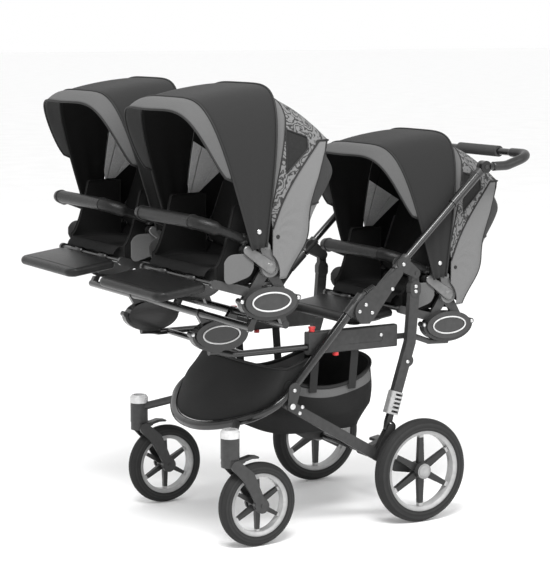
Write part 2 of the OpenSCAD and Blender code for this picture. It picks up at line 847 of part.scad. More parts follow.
module coil(r, wire, turns, length) {
  sides = 6;
  steps = 8 * turns;
  line = coil_line(r, wire, turns, length);
  function spot(i, k) =
    let (out = [cos(i * 45), sin(i * 45), 0], angle = 360 * k / sides)
      line[i] + wire * (cos(angle) * out + sin(angle) * [0, 0, 1]);
  ends = [for (i = [0, steps]) [for (k = [0 : sides - 1]) (i == 0 ? 0 : steps * sides) + k]];
  polyhedron(
    [for (i = [0 : steps], k = [0 : sides - 1]) spot(i, k)],
    concat(
      [for (i = [0 : steps - 1], k = [0 : sides - 1])
        let (n = (k + 1) % sides, a = i * sides, b = (i + 1) * sides)
          each [[a + k, b + k, b + n], [a + k, b + n, a + n]]],
      [[for (k = [sides - 1 : -1 : 0]) ends[0][sides - 1 - k]]],
      [[for (k = [0 : sides - 1]) ends[1][sides - 1 - k]]]
    )
  );
}

module shock_springs() {
  seat = along(shock_bottom, shock_slope, 12 + side_gap);
  color(silver)
    both() translate(side(tube_x, seat))
      rotate([shock_slope - 90, 0, 0]) coil(spring_r, spring_wire_r, spring_turns, spring_len);
}

// Rods and forks that slide in the sleeves; their eyes leave room round the open pivot pins
module shock_plungers() {
  eye_r = open_pin_r + open_pin_room;
  neck = along(shock_bottom, shock_slope, -shock_travel);
  head = along(shock_bottom, shock_slope, 2);
  seat = along(head, shock_slope, 10);
  color(black)
    both()
      difference() {
        union() {
          plate(tube_x, plunger_t) {
            limb([shock_pivot, neck, head], [eye_r + 3, plunger_w / 2, 8]);
          }
          rod(side(tube_x, head), side(tube_x, seat), 7.5);
          rod(side(tube_x, head), side(tube_x, along(head, shock_slope, 28)), plunger_rod_r);
        }
        pin(tube_x - 40, tube_x + 40, shock_pivot, eye_r);
      }
}

// Bolts on which the swing arms turn
module swing_pivots() {
  reach = max(hoop_r, arm_t / 2) + side_gap + ear_t;
  color(silver)
    both() {
      pin(tube_x - reach, tube_x + reach + side_gap, swing_pivot, swing_pin_r);
      pin(tube_x + reach + side_gap, tube_x + reach + side_gap + 4, swing_pivot, swing_pin_r + 3);
    }
}

// Flat arms from the knees to the rear axle with the ears and pins of the shock
module swing_arms() {
  ear_x = plunger_t / 2 + side_gap + ear_t / 2;
  root = mix(swing_pivot, swing_mid, 0.83);
  color(frame_grey)
    both()
      difference() {
        union() {
          plate(tube_x, arm_t) {
            limb([swing_pivot, swing_mid, axle], [arm_w / 2 - 3, arm_w / 2, 14]);
          }
          for (s = [-1, 1])
            plate(tube_x + s * ear_x, ear_t) taper(shock_pivot, root, 10, 15);
          pin(tube_x - ear_x, tube_x + ear_x, shock_pivot, open_pin_r);
        }
        pin(tube_x - 40, tube_x + 40, swing_pivot, swing_pin_r + run_gap);
        pin(tube_x - 40, tube_x + 40, axle, rear_axle_r + run_gap);
      }
}

module rear_axle() {
  reach = rear_track + rear_tyre_w / 2 - 2;
  color(frame_grey) {
    pin(-reach, reach, axle, rear_axle_r);
    pin(-tube_x + arm_t / 2, tube_x - arm_t / 2, axle, axle_tube_r);
  }
}

// Foot lever round the middle of the axle tube
module brake_pedal() {
  color(black)
    difference() {
      union() {
        pin(-26, 26, axle, axle_tube_r + 5);
        plate(0, 24) taper(axle, axle + [52, 22], 9, 6);
        plate(0, 90) taper(axle + [47, 21], axle + [72, 26], 5, 4);
      }
      pin(-60, 60, axle, axle_tube_r + run_gap);
    }
}

// Wheel rim: barrel, spokes, hub and cap about the X axis
module rim(rim_r, width, bore, cap_side) {
  hub_r = rim_r * 0.19;
  barrel = 11;
  spoke_t = width * 0.3;
  difference() {
    union() {
      rotate([0, 90, 0])
        rotate_extrude($fn = 96)
          polygon([
            [rim_r - barrel, -width * 0.3], [rim_r - 3, -width * 0.42], [rim_r, -width * 0.42],
            [rim_r, width * 0.42], [rim_r - 3, width * 0.42], [rim_r - barrel, width * 0.3]
          ]);
      pin(-width * 0.5, width * 0.5, [0, 0], hub_r);
      for (i = [0 : spoke_count - 1])
        rotate([i * 360 / spoke_count, 0, 0])
          plate(0, spoke_t)
            polygon([
              [-rim_r * 0.09, hub_r * 0.6], [rim_r * 0.09, hub_r * 0.6],
              [rim_r * 0.055, rim_r - barrel + 2], [-rim_r * 0.055, rim_r - barrel + 2]
            ]);
    }
    pin(-width, width, [0, 0], bore + run_gap);
  }
  if (cap_side != 0)
    translate([cap_side * (width * 0.5 - 1), 0, 0])
      rotate([0, cap_side * 90, 0])
        rotate_extrude()
          polygon([[0, 0], [hub_r * 0.8, 0], [hub_r * 0.8, 3], [hub_r * 0.55, 6], [0, 7]]);
}

module tyre(wheel_r, rim_r, width) {
  crown = width * 0.5;
  rotate([0, 90, 0])
    difference() {
      rotate_extrude($fn = 96)
        difference() {
          union() {
            translate([wheel_r - crown, 0]) circle(r = crown);
            translate([rim_r + side_gap / 2, -width * 0.38])
              square([wheel_r - crown - rim_r, width * 0.76]);
          }
          translate([0, -width]) square([rim_r + side_gap / 2, 2 * width]);
        }
      for (s = [-1, 1])
        translate([0, 0, s * width * 0.22])
          rotate_extrude($fn = 96) translate([wheel_r - 1.5, 0]) circle(r = 1.8, $fn = 16);
    }
}

module rear_wheel_place(s) {
  translate([s * rear_track, axle[0], axle[1]]) children();
}

module front_wheel_place(s) {
  translate([s * caster_x, front_axle_y, front_wheel_r]) children();
}

module rear_rim(s) {
  color(silver) rear_wheel_place(s) rim(rear_rim_r, rear_tyre_w, rear_axle_r, s);
}

module rear_tyre(s) {
  color(black) rear_wheel_place(s) tyre(rear_wheel_r, rear_rim_r, rear_tyre_w);
}

module front_rim(s) {
  color(silver) front_wheel_place(s) rim(front_rim_r, front_tyre_w, front_axle_r, 0);
}

module front_tyre(s) {
  color(black) front_wheel_place(s) tyre(front_wheel_r, front_rim_r, front_tyre_w);
}

// Fork of a front wheel: spindle, head, two blades and the wheel bolt
module fork(s) {
  blade_x = front_tyre_w / 2 + fork_gap + fork_blade_t / 2;
  crown = [-caster_reach + 4, fork_head_z + fork_head_h - 16];
  elbow = [-caster_reach + 40, fork_head_z - 28];
  hub_point = [front_axle_y, front_wheel_r];
  pivot = lever_pivot();
  color(black)
    translate([s * caster_x, 0, 0]) {
      difference() {
        union() {
          translate([0, -caster_reach, fork_head_z]) {
            cylinder(h = fork_head_h, r = post_r - 1);
            cylinder(h = ring_z + 3 - fork_head_z, r = spindle_r);
          }
          for (k = [-1, 1])
            plate(k * blade_x, fork_blade_t) {
              limb([crown, elbow, hub_point], [15, 18, 13]);
              circle_at(hub_point, 20);
            }
          translate([0, -caster_reach + 4, fork_head_z + fork_head_h / 2])
            cube([2 * blade_x, 26, fork_head_h - 2], center = true);
          for (k = [-1, 1])
            plate(k * 14, 5) taper([-caster_reach + 12, pivot[1] - 4], pivot, 7, 5);
        }
      }
      pin(-blade_x - 6, blade_x + 6, hub_point, front_axle_r);
      pin(-16, 16, pivot, lever_pin_r);
    }
}

function lever_pivot() = [-caster_reach + post_r + 7, fork_head_z + fork_head_h - 8];

// Lever behind a fork head that locks the swivel
module swivel_lock(s) {
  pivot = lever_pivot();
  color(black)
    translate([s * caster_x, 0, 0])
      difference() {
        plate(0, 22) {
          circle_at(pivot, 6);
          translate(pivot) polygon([[0, -4], [28, 2], [47, 1], [50, 4], [47, 7], [27, 10], [0, 4]]);
        }
        pin(-20, 20, pivot, lever_pin_r + run_gap);
      }
}

module circle_at(p, r) {
  translate(p) circle(r = r);
}

// Soft basket: a rounded tub whose rim dips between its ends
basket_columns = 28;
basket_front = hem_front[0] + cloth_t + 12;
basket_back = -57;
basket_middle = (basket_front + basket_back) / 2;
basket_half_l = (basket_back - basket_front) / 2;
function basket_ring(half_w, half_l, inset, z) =
  [for (i = [0 : basket_columns])
    let (
      a = -i * 360 / basket_columns,
      d = pow(pow(abs(cos(a)), 4) + pow(abs(sin(a)), 4), 0.25)
    )
      [(half_w - inset) * cos(a) / d, basket_middle + (half_l - inset) * sin(a) / d, z]];

function rim_height(p) = 388 + 60 * pow((p[1] - basket_middle) / basket_half_l, 2);

module basket() {
  levels = [[0.02, 0], [0.86, 0], [0.97, 30]];
  function ring_at(k, inset) =
    k < 3
      ? basket_ring(basket_half_w * levels[k][0], basket_half_l * levels[k][0] * 0.94, k == 0 ? 0 : inset,
          basket_floor_z + levels[k][1] + (k < 2 ? inset : 0))
      : [for (p = basket_ring(basket_half_w, basket_half_l, inset, 0)) [p[0], p[1], rim_height(p)]];
  outer = [for (k = [0 : 3]) ring_at(k, 0)];
  inner = [for (k = [0 : 3]) ring_at(k, cloth_t)];
  strap_w = 24;
  color(black) {
    cup(outer, inner);
    both() for (y = [basket_middle - 54, basket_middle + 71])
      translate([0, y + strap_w / 2, 0])
        rotate([90, 0, 0])
          linear_extrude(strap_w)
            polygon([
              [basket_half_w - 4, 376], [basket_half_w, 376],
              [rail_x - 1, rail_z[0] - side_gap], [rail_x - 5, rail_z[0] - side_gap]
            ]);
  }
}

// Closed tub from rings of points, with its floor closed by the first ring
module cup(outer, inner) {
  rows = len(outer);
  n = len(outer[0]) - 1;
  count = rows * n;
  function o(r, c) = r * n + c % n;
  function i(r, c) = count + r * n + c % n;
  function quad(a, b, c, d) = [[a, b, c], [a, c, d]];
  faces = concat(
    [for (r = [0 : rows - 2], c = [0 : n - 1]) each quad(o(r, c), o(r, c + 1), o(r + 1, c + 1), o(r + 1, c))],
    [for (r = [0 : rows - 2], c = [0 : n - 1]) each quad(i(r, c), i(r + 1, c), i(r + 1, c + 1), i(r, c + 1))],
    [for (c = [0 : n - 1]) each quad(o(rows - 1, c), o(rows - 1, c + 1), i(rows - 1, c + 1), i(rows - 1, c))],
    [[for (c = [n - 1 : -1 : 0]) o(0, c)], [for (c = [0 : n - 1]) i(0, c)]]
  );
  polyhedron([for (grid = [outer, inner]) each [for (row = grid) each [for (c = [0 : n - 1]) row[c]]]], faces);
}

// Cloth panel that fills the front of the hoop, from the tube up to a dipping hem
module front_panel() {
  columns = 20;
  rows = 4;
  room = hoop_r + bend_swell + side_gap;
  hem_x = tube_x - room - 10;
  nose_start = 0.04 * hoop_nose_x;
  side_start = hoop_side_d + hoop_side_r * tan(45 - hoop_nose_turn / 2);
  side_run = hoop_low_len - side_start;
  function on_front(b) =
    b < hoop_nose_turn
      ? on_low(nose_start + hoop_nose_r * sin(b), hoop_nose_r * (1 - cos(b)))
      : on_low(tube_x - hoop_side_r * (1 - sin(b)), side_start - hoop_side_r * cos(b));
  function on_side(d) =
    d < side_run
      ? on_low(tube_x, side_start + d)
      : side(tube_x, along(hoop_knee, hoop_high_slope, d - side_run));
  function low(f) =
    let (
      b = 90 * min(1, f / 0.6), up = 0.7 * cos(b), into = sqrt(1 - up * up),
      centre = f <= 0.6 ? on_front(b) : on_side((side_run + 86) * (f - 0.6) / 0.4)
    )
      centre
      + (room + (ear_t + side_gap) * sin(b)) * into
        * [-sin(b), cos(b) * cos(hoop_low_slope), cos(b) * sin(hoop_low_slope)]
      + room * up * [0, -sin(hoop_low_slope), cos(hoop_low_slope)];
  function high(f) =
    let (a = 90 * min(1, f / 0.6), k = max(0, (f - 0.6) / 0.4), p = mix(mix(hem_front, hem_side, 1 - cos(a)), hem_end, k))
      side(hem_x * sin(a), p);
  function spot(f, g, inset) =
    let (
      p = mix(low(f), high(f), g), swell = 16 * sin(180 * g) * max(0, cos(130 * f)),
      out = unit([p[0], p[1] - basket_middle, 0])
    )
      p + out * (swell - inset);
  function flip(p, s) = [s * p[0], p[1], p[2]];
  function grid(inset) =
    [for (r = [0 : rows])
      [for (c = [0 : columns]) let (f = 1 - 2 * c / columns) flip(spot(abs(f), r / rows, inset), f < 0 ? -1 : 1)]];
  color(fabric_dark) sheet(grid(0), grid(cloth_t));
}

// Side plates, hubs, arms and cross rods of a seat
module seat_frame(gate) {
  color(plastic_grey) {
    both() {
      plate(seat_mount_x, oval_t) oval(oval_w, oval_h);
      plate(seat_mount_x + oval_t / 2 + 0.75, 1.5)
        difference() {
          oval(oval_w * 0.76, oval_h * 0.66);
          oval(oval_w * 0.7, oval_h * 0.57);
        }
      plate(hub_plate_x, hub_plate_t) {
        taper(hub, [-46, 22], 15, 12);
        taper(hub, [40, 22], 15, 12);
        taper([-46, 22], foot_rod, 12, 11);
        taper(hub, bar_post, 15, 12);
      }
      pin(hub_plate_x - hub_plate_t / 2, hub_plate_x + hub_plate_t / 2, hub, 22);
      pin(hub_plate_x, recline_x + recline_t, hub, hub_pin_r);
    }
    pin(-hub_plate_x, hub_plate_x, foot_rod, foot_rod_r);
    pin(-hub_plate_x, hub_plate_x, [-34, tub_low - 8 - side_gap], 8);
    translate([gate * hub_plate_x, bar_post[0], bar_post[1]]) cylinder(h = 40, r = bar_pin_r);
    translate([-gate * hub_plate_x, bar_post[0] + bar_r + side_gap + 5, bar_post[1] + 14])
      cube([hub_plate_t, 10, 40], center = true);
  }
}

// Padded tub with a crowned seat and sides that rise from the front edge to the hood
module seat_tub() {
  front = -134;
  back = 20;
  places = [0, 0.1, 0.2, 0.28, 0.34, 0.6, 1];
  columns = 14;
  wall = 15;
  function wall_z(y) = 92 + 152 * pow(min(1, (y - front) / 52), 1.6);
  function outer_spot(c, g) =
    let (f = c / columns * 2 - 1, s = sign(f), a = abs(f), y = mix(front, back, g))
      a > 0.6
        ? [-s * tub_half_w, y, mix(tub_low + 2, wall_z(y), (a - 0.6) / 0.4)]
        : [-s * tub_half_w * min(1, a / 0.57), y, tub_low];
  function inner_spot(c, g) =
    let (
      f = c / columns * 2 - 1, s = sign(f), a = abs(f), y = mix(front, back, g),
      crown = 8 * cos(f * 130) * sin(180 * mix(0.12, 0.88, g))
    )
      a > 0.6
        ? [-s * (tub_half_w - wall), y, mix(86, wall_z(y), (a - 0.6) / 0.4)]
        : [-s * (tub_half_w - wall) * min(1, a / 0.57), y, 82 + crown];
  color(black)
    sheet(
      [for (g = places) [for (c = [0 : columns]) outer_spot(c, g)]],
      [for (g = places) [for (c = [0 : columns]) inner_spot(c, g)]]
    );
}

function back_y(z) =
  back_foot[0] + (z - back_foot[1]) * tan(back_lean) + back_belly * exp(-pow((z - 150) / 60, 2));

// Recline discs, side arms, hood studs and back board
module backrest_frame() {
  inset = 32;
  foot = [back_y(72) - inset, 72];
  head = [back_y(back_top - 30) - inset, back_top - 30];
  arm_top = mix(foot, head, 0.64);
  board_t = 9;
  color(plastic_grey) {
    both()
      difference() {
        union() {
          plate(recline_x + recline_t / 2, recline_t) {
            circle_at(hub, 25);
            taper(hub, hood_pivot, 17, 13);
            limb([hub, mix(foot, head, 0.34), arm_top], [15, 10, 9]);
          }
          pin(recline_x + recline_t - 1, hood_half_w - hood_t - side_gap, hood_pivot, 8);
        }
        pin(recline_x - 5, recline_x + recline_t + 5, hub, hub_pin_r + run_gap);
      }
    plate(0, 2 * recline_x + 2) taper(mix(foot, head, 0.14), arm_top, board_t / 2, board_t / 2);
    plate(0, 2 * recline_x - 50) taper(mix(foot, head, 0.5), head, board_t / 2 - 0.6, board_t / 2 - 0.6);
  }
}

function bow_spot(a, half_w, h, lean) =
  let (d = pow(pow(abs(cos(a)), bow_power) + pow(abs(sin(a)), bow_power), 1 / bow_power), r = h * sin(a) / d)
    [half_w * cos(a) / d, bow_foot[0] - r * sin(lean), bow_foot[1] + r * cos(lean)];

// Half width left inside the hood at a distance from its pivot
function hood_room(d) =
  let (q = min(1, (d + hood_pivot_rise) / (rear_bow_h - hood_t)))
    (hood_half_w - hood_t) * pow(1 - pow(q, bow_power), 1 / bow_power) - 4 - 10 * pow(q, 4);

// Cloth of the backrest: side wings, rounded back with its pouch, and the rear part of the canopy
module backrest_cover() {
  side_steps = 4;
  corner_steps = 4;
  back_steps = 4;
  half = side_steps + corner_steps + back_steps;
  wing_rows = 6;
  canopy_rows = 4;
  levels = [0, 0.2, 0.38, 0.56, 0.72, 0.86, 1];
  swell = [0, 0.06, 0.5, 0.86, 1, 0.55, 0];
  function front_edge(c) = max(0, 1 - c / side_steps);
  function turned(c) = 90 * min(1, max(0, (c - side_steps) / corner_steps));
  function across(c) = min(1, (half - c) / back_steps);
  function level_z(c, f) =
    mix(mix(cover_low, 138, front_edge(c)), mix(back_top, wing_front_z, front_edge(c)), f);
  function wing_spot(c, r, inset) =
    let (
      z = level_z(c, levels[r]), a = turned(c), bend = back_corner_r - inset,
      flat = cover_half_w - back_corner_r,
      x = c <= side_steps + corner_steps ? flat + bend * cos(a) : flat * across(c),
      crown = c > side_steps + corner_steps
        ? back_crown * (1 - pow(across(c), 2)) + pouch_depth * swell[r] * (1 - pow(across(c), 5))
        : 0,
      corner_y = back_y(z) - back_corner_r + bend * sin(a) + crown
    )
      [x, mix(corner_y, 3, front_edge(c)), z];
  function canopy_spot(c, inset) =
    bow_spot(
      mix(bow_start + 14, 90, c / half), cover_half_w - inset, rear_bow_h - bow_inset - inset,
      rear_bow_lean + 1.5
    );
  function spot(c, r, inset) =
    r <= wing_rows
      ? wing_spot(c, r, inset)
      : let (g = (r - wing_rows) / canopy_rows, p = mix(wing_spot(c, wing_rows, inset), canopy_spot(c, inset), g))
          p + [0, 1, 1] * 12 * sin(180 * g) * sin(90 * c / half);
  function flip(p, s, inset) =
    [s * min(p[0], hood_room(norm([p[1], p[2]] - hood_pivot)) - inset), p[1], p[2]];
  function grid(inset) =
    [for (r = [0 : wing_rows + canopy_rows])
      [for (c = [-half : half]) flip(spot(half - abs(c), r, inset), c < 0 ? -1 : 1, inset)]];
  color(fabric_grey) sheet(grid(0), grid(cover_cloth_t));
}

// Hood cloth from the visor edge over the front bow to the rear bow
module hood() {
  rows = 4;
  function lean(r) = mix(front_bow_lean, rear_bow_lean, r / rows);
  function height(r) = mix(front_bow_h, rear_bow_h, r / rows);
  function brim(a) =
    a <= visor_start || a >= 180 - visor_start
      ? 1
      : 1 + visor_len * pow(sin(180 * (a - visor_start) / (180 - 2 * visor_start)), 0.45);
  function spot(a, r, inset) =
    r >= 0
      ? bow_spot(a, hood_half_w - inset, height(r) - inset, lean(r))
      : bow_spot(a, hood_half_w - inset, height(0) - inset, lean(0))
        + r / 2 * -brim(a) * [0, -cos(visor_drop), -sin(visor_drop)];
  function grid(inset) =
    [for (r = [-2 : rows])
      [for (c = [0 : hood_columns]) spot(bow_start + c * (180 - 2 * bow_start) / hood_columns, r, inset)]];
  color(fabric_dark) sheet(grid(0), grid(hood_t));
}

// Bumper bar with its foam and the knuckle that swings on one side post
module bumper_bar(gate) {
  foam_half = 138;
  low = bar_post[1] + 26;
  path = [
    side(hub_plate_x, [bar_post[0], low]), side(hub_plate_x, [-bar_reach, bar_z]),
    side(-hub_plate_x, [-bar_reach, bar_z]), side(-hub_plate_x, [bar_post[0], low])
  ];
  color(black)
    difference() {
      union() {
        bent_tube(path, [0, 56, 56, 0], bar_r);
        pin(-foam_half, foam_half, [-bar_reach, bar_z], bar_foam_r);
        for (s = [-1, 1])
          translate([s * hub_plate_x, bar_post[0], low - bar_r]) cylinder(h = 2 * bar_r, r = bar_r);
      }
      translate([gate * hub_plate_x, bar_post[0], bar_post[1]]) cylinder(h = 60, r = bar_pin_r + run_gap);
    }
}

// Footrest board with the knuckles that turn on the front rod
module footrest() {
  knuckle_r = foot_rod_r + 5;
  color(black)
    difference() {
      union() {
        translate([0, foot_rod[0], foot_rod[1]])
          rotate([foot_slope, 0, 0])
            translate([0, -foot_len / 2 - 8, -foot_t / 2 + 4])
              linear_extrude(foot_t) board_outline();
        for (s = [-1, 1])
          pin(s * 80 - 22, s * 80 + 22, foot_rod, knuckle_r);
      }
      pin(-foot_half_w, foot_half_w, foot_rod, foot_rod_r + run_gap);
      for (s = [-1, 0, 1])
        pin(s * 160 - 57.5, s * 160 + 57.5, foot_rod, knuckle_r + side_gap);
    }
}

module board_outline() {
  corner = 34;
  rounded_box(2 * foot_half_w, foot_len, corner);
  translate([-foot_half_w + 10, 0]) square([2 * foot_half_w - 20, foot_len / 2]);
}

module left_seat() {
  translate([twin_pitch / 2, -front_seat_reach, carriage_z + twin_rise]) children();
}

module right_seat() {
  translate([-twin_pitch / 2, -front_seat_reach, carriage_z + twin_rise]) children();
}

module rear_seat() {
  translate([0, rear_seat_back, rear_seat_z]) children();
}

place() front_hoop();
place() swing_brackets();
place() caster_posts();
place() caster_rings();
place() hinge_sockets();
place() release_collars();
place() rails();
place() rear_cradles();
place() basket();
place() front_panel();
place() carriage_frame();
place() carriage_knobs();
place() twin_adapter();
place() push_tubes();
place() upper_brackets();
place() hinge_covers();
place() handle_joints();
place() handle_bar();
place() handle_grip();
place() rear_legs();
place() shock_covers();
place() shock_springs();
place() shock_plungers();
place() swing_pivots();
place() swing_arms();
place() rear_axle();
place() brake_pedal();
place() rear_rim(1);  // rear_rim_left
place() rear_tyre(1);  // rear_tyre_left
place() rear_rim(-1);  // rear_rim_right
place() rear_tyre(-1);  // rear_tyre_right
place() fork(1);  // fork_left
place() fork(-1);  // fork_right
place() swivel_lock(1);  // swivel_lock_left
place() swivel_lock(-1);  // swivel_lock_right
place() front_rim(1);  // front_rim_left
place() front_tyre(1);  // front_tyre_left
place() front_rim(-1);  // front_rim_right
place() front_tyre(-1);  // front_tyre_right
place() left_seat() seat_frame(1);  // seat_frame_left
place() left_seat() seat_tub();  // seat_tub_left
place() left_seat() backrest_frame();  // backrest_frame_left
place() left_seat() backrest_cover();  // backrest_cover_left
place() left_seat() hood();  // hood_left
place() left_seat() bumper_bar(1);  // bumper_bar_left
place() left_seat() footrest();  // footrest_left
place() right_seat() seat_frame(-1);  // seat_frame_right
place() right_seat() seat_tub();  // seat_tub_right
place() right_seat() backrest_frame();  // backrest_frame_right
place() right_seat() backrest_cover();  // backrest_cover_right
place() right_seat() hood();  // hood_right
place() right_seat() bumper_bar(-1);  // bumper_bar_right
place() right_seat() footrest();  // footrest_right
place() rear_seat() seat_frame(-1);  // seat_frame_rear
place() rear_seat() seat_tub();  // seat_tub_rear
place() rear_seat() backrest_frame();  // backrest_frame_rear
place() rear_seat() backrest_cover();  // backrest_cover_rear
place() rear_seat() hood();  // hood_rear
place() rear_seat() bumper_bar(-1);  // bumper_bar_rear
place() rear_seat() footrest();  // footrest_rear
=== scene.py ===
import json
import math
import bpy
import numpy as np
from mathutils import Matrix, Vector


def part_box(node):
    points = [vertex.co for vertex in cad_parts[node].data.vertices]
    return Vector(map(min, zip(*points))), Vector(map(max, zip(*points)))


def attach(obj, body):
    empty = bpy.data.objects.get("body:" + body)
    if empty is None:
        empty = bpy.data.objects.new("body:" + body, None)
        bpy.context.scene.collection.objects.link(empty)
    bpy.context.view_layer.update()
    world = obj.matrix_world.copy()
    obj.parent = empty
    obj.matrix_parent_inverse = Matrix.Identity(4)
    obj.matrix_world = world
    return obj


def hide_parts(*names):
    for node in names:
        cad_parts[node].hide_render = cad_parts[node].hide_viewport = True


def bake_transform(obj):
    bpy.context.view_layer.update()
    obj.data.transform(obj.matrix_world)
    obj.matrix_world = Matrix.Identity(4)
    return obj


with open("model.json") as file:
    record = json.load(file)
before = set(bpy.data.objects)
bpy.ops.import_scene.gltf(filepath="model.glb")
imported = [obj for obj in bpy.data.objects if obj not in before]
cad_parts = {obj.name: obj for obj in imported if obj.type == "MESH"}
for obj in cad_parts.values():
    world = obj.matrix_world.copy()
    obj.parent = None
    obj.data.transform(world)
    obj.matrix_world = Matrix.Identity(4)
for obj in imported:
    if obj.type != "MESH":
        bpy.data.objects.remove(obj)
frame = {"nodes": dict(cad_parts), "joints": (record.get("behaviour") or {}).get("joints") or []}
nodes = frame["nodes"]
spots = {j["name"]: np.array(j["pos_m"]) for j in frame["joints"] if "pos_m" in j}
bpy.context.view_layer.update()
scene = bpy.context.scene
shift = spots["rear_wheel_spin_left"][1]  # the rear axle
print("stage: frame loaded,", len(nodes), "nodes")


class Shape:
    def __init__(self):
        self.points, self.faces, self.marks = [], [], []

    def add(self, points, faces, mark=0):
        base = len(self.points)
        self.points += [tuple(float(v) for v in p) for p in points]
        self.faces += [tuple(i + base for i in f) for f in faces]
        self.marks += list(mark) if isinstance(mark, (list, np.ndarray)) else [mark] * len(faces)

    def grid(self, points, mark=0, around=False, marker=None):
        rows, cols = points.shape[:2]
        span = cols if around else cols - 1
        faces = [(r * cols + c, r * cols + (c + 1) % cols, (r + 1) * cols + (c + 1) % cols, (r + 1) * cols + c)
                 for r in range(rows - 1) for c in range(span)]
        flat = points.reshape(-1, 3)
        if marker is not None:
            mark = [marker(flat[list(f)].mean(0), f[0] // cols, f[0] % cols) for f in faces]
        self.add(flat, faces, mark)

    def tube(self, line, radius, mark=0, sides=10, closed=False):
        line = np.asarray(line, float)
        count = len(line)
        radii = np.broadcast_to(np.asarray(radius, float), (count,))
        ahead = np.roll(line, -1, 0) - np.roll(line, 1, 0)
        if not closed:
            ahead[0], ahead[-1] = line[1] - line[0], line[-1] - line[-2]
        ahead /= np.linalg.norm(ahead, axis=1)[:, None]
        side = np.cross(ahead[0], [0, 0, 1.0] if abs(ahead[0][2]) < 0.9 else [1.0, 0, 0])
        turns = np.linspace(0, 2 * math.pi, sides, endpoint=False)
        rings = []
        for k in range(count):
            side = side - ahead[k] * side.dot(ahead[k])
            side /= np.linalg.norm(side)
            up = np.cross(ahead[k], side)
            rings.append([line[k] + radii[k] * (math.cos(t) * side + math.sin(t) * up) for t in turns])
        rings = np.array(rings)
        loops = count if closed else count - 1
        faces = [(r * sides + c, ((r + 1) % count) * sides + c, ((r + 1) % count) * sides + (c + 1) % sides,
                  r * sides + (c + 1) % sides) for r in range(loops) for c in range(sides)]
        if not closed:
            faces += [tuple(range(sides)), tuple(range(count * sides - 1, (count - 1) * sides - 1, -1))]
        self.add(rings.reshape(-1, 3), faces, mark)

    def lathe(self, centre, axis, profile, mark=0, sides=20):
        centre, axis = np.asarray(centre, float), np.asarray(axis, float) / np.linalg.norm(axis)
        side = np.cross(axis, [0, 0, 1.0] if abs(axis[2]) < 0.9 else [1.0, 0, 0])
        side /= np.linalg.norm(side)
        up = np.cross(axis, side)
        turns = np.linspace(0, 2 * math.pi, sides, endpoint=False)
        rings = [[centre + axis * h + r * (math.cos(t) * side + math.sin(t) * up) for t in turns] for r, h in profile]
        faces = [(k * sides + c, k * sides + (c + 1) % sides, (k + 1) * sides + (c + 1) % sides, (k + 1) * sides + c)
                 for k in range(len(profile) - 1) for c in range(sides)]
        faces += [tuple(range(sides - 1, -1, -1)), tuple(range((len(profile) - 1) * sides, len(profile) * sides))]
        self.add(np.array(rings).reshape(-1, 3), faces, mark)

    def piece(self, name, body, cover, stands=(), away=None, cloth=0.0, subdivide=0, weld=0.0):
        mesh = bpy.data.meshes.new(name)
        mesh.from_pydata(self.points, [], self.faces)
        mesh.polygons.foreach_set("material_index", self.marks)
        mesh.polygons.foreach_set("use_smooth", [True] * len(self.faces))
        for look in cover:
            mesh.materials.append(looks[look] if isinstance(look, str) else look)
        obj = bpy.data.objects.new(name, mesh)
        scene.collection.objects.link(obj)
        mesh.update()
        if away is not None:
            lean = sum(p.area * p.normal.dot(p.center - Vector(away)) for p in mesh.polygons)
            if lean < 0:
                mesh.flip_normals()
        if weld:
            obj.modifiers.new("weld", "WELD").merge_threshold = weld
        if cloth:
            layer = obj.modifiers.new("cloth", "SOLIDIFY")
            layer.thickness, layer.offset = cloth, -1.0
            layer.material_offset = len(cover) // 2
        if subdivide:
            obj.modifiers.new("soft", "SUBSURF").levels = subdivide
            obj.modifiers["soft"].render_levels = subdivide
        if obj.modifiers:
            made = bpy.data.meshes.new_from_object(obj.evaluated_get(bpy.context.evaluated_depsgraph_get()))
            obj.modifiers.clear()
            obj.data = made
            made.name = name
        if isinstance(body, tuple):
            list(body)
            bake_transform(obj)
        else:
            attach(obj, body)
        if stands:
            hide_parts(*stands)
        return obj


def area(obj):
    return sum(p.area for p in obj.data.polygons)


def declareSheet(obj, width, ease, least=0.0):
    size = area(obj) / 2  # one face of the cloth
    round(max(size / width * ease, least), 3)


def clothPiece(points, name, body, cover, stands, away, thick):
    shell = Shape()
    shell.grid(points)
    return shell.piece(name, body, cover, stands, away, thick)


def lerp(a, b, f):
    return a + (b - a) * f


def rounded(points, bends, steps=10):
    points = [np.asarray(p, float) for p in points]
    line = [points[0]]
    for k in range(1, len(points) - 1):
        p, a, b = points[k], points[k - 1] - points[k], points[k + 1] - points[k]
        a, b = a / np.linalg.norm(a), b / np.linalg.norm(b)
        half = math.acos(max(-1.0, min(1.0, a.dot(b)))) / 2
        back = bends[k] / math.tan(half)
        centre = p + (a + b) / np.linalg.norm(a + b) * bends[k] / math.sin(half)
        start, end = p + a * back - centre, p + b * back - centre
        turn = math.pi - 2 * half
        for s in range(steps + 1):
            f = s / steps
            line.append(centre + (math.sin((1 - f) * turn) * start + math.sin(f * turn) * end) / math.sin(turn))
    line.append(points[-1])
    return np.array(line)


def dense(line, step):
    line = np.asarray(line, float)
    out = [line[0]]
    for a, b in zip(line[:-1], line[1:]):
        n = max(1, int(np.linalg.norm(b - a) / step))
        out += [a + (b - a) * (k + 1) / n for k in range(n)]
    return np.array(out)


surfaceValues = {"coatRough": 0.12, "detail": 3.0, "ramp": (0.3, 0.7), "bumpDepth": 0.002}
scribbleValues = {"ramp": (0.22, 0.62), "waveShare": 0.75, "noiseShare": 0.3,
                  "wave": {"Scale": 9.0, "Distortion": 34.0, "Detail": 3.0, "Detail Scale": 2.4}}
regionValues = {"sharp": 1200.0, "weave": 420.0}


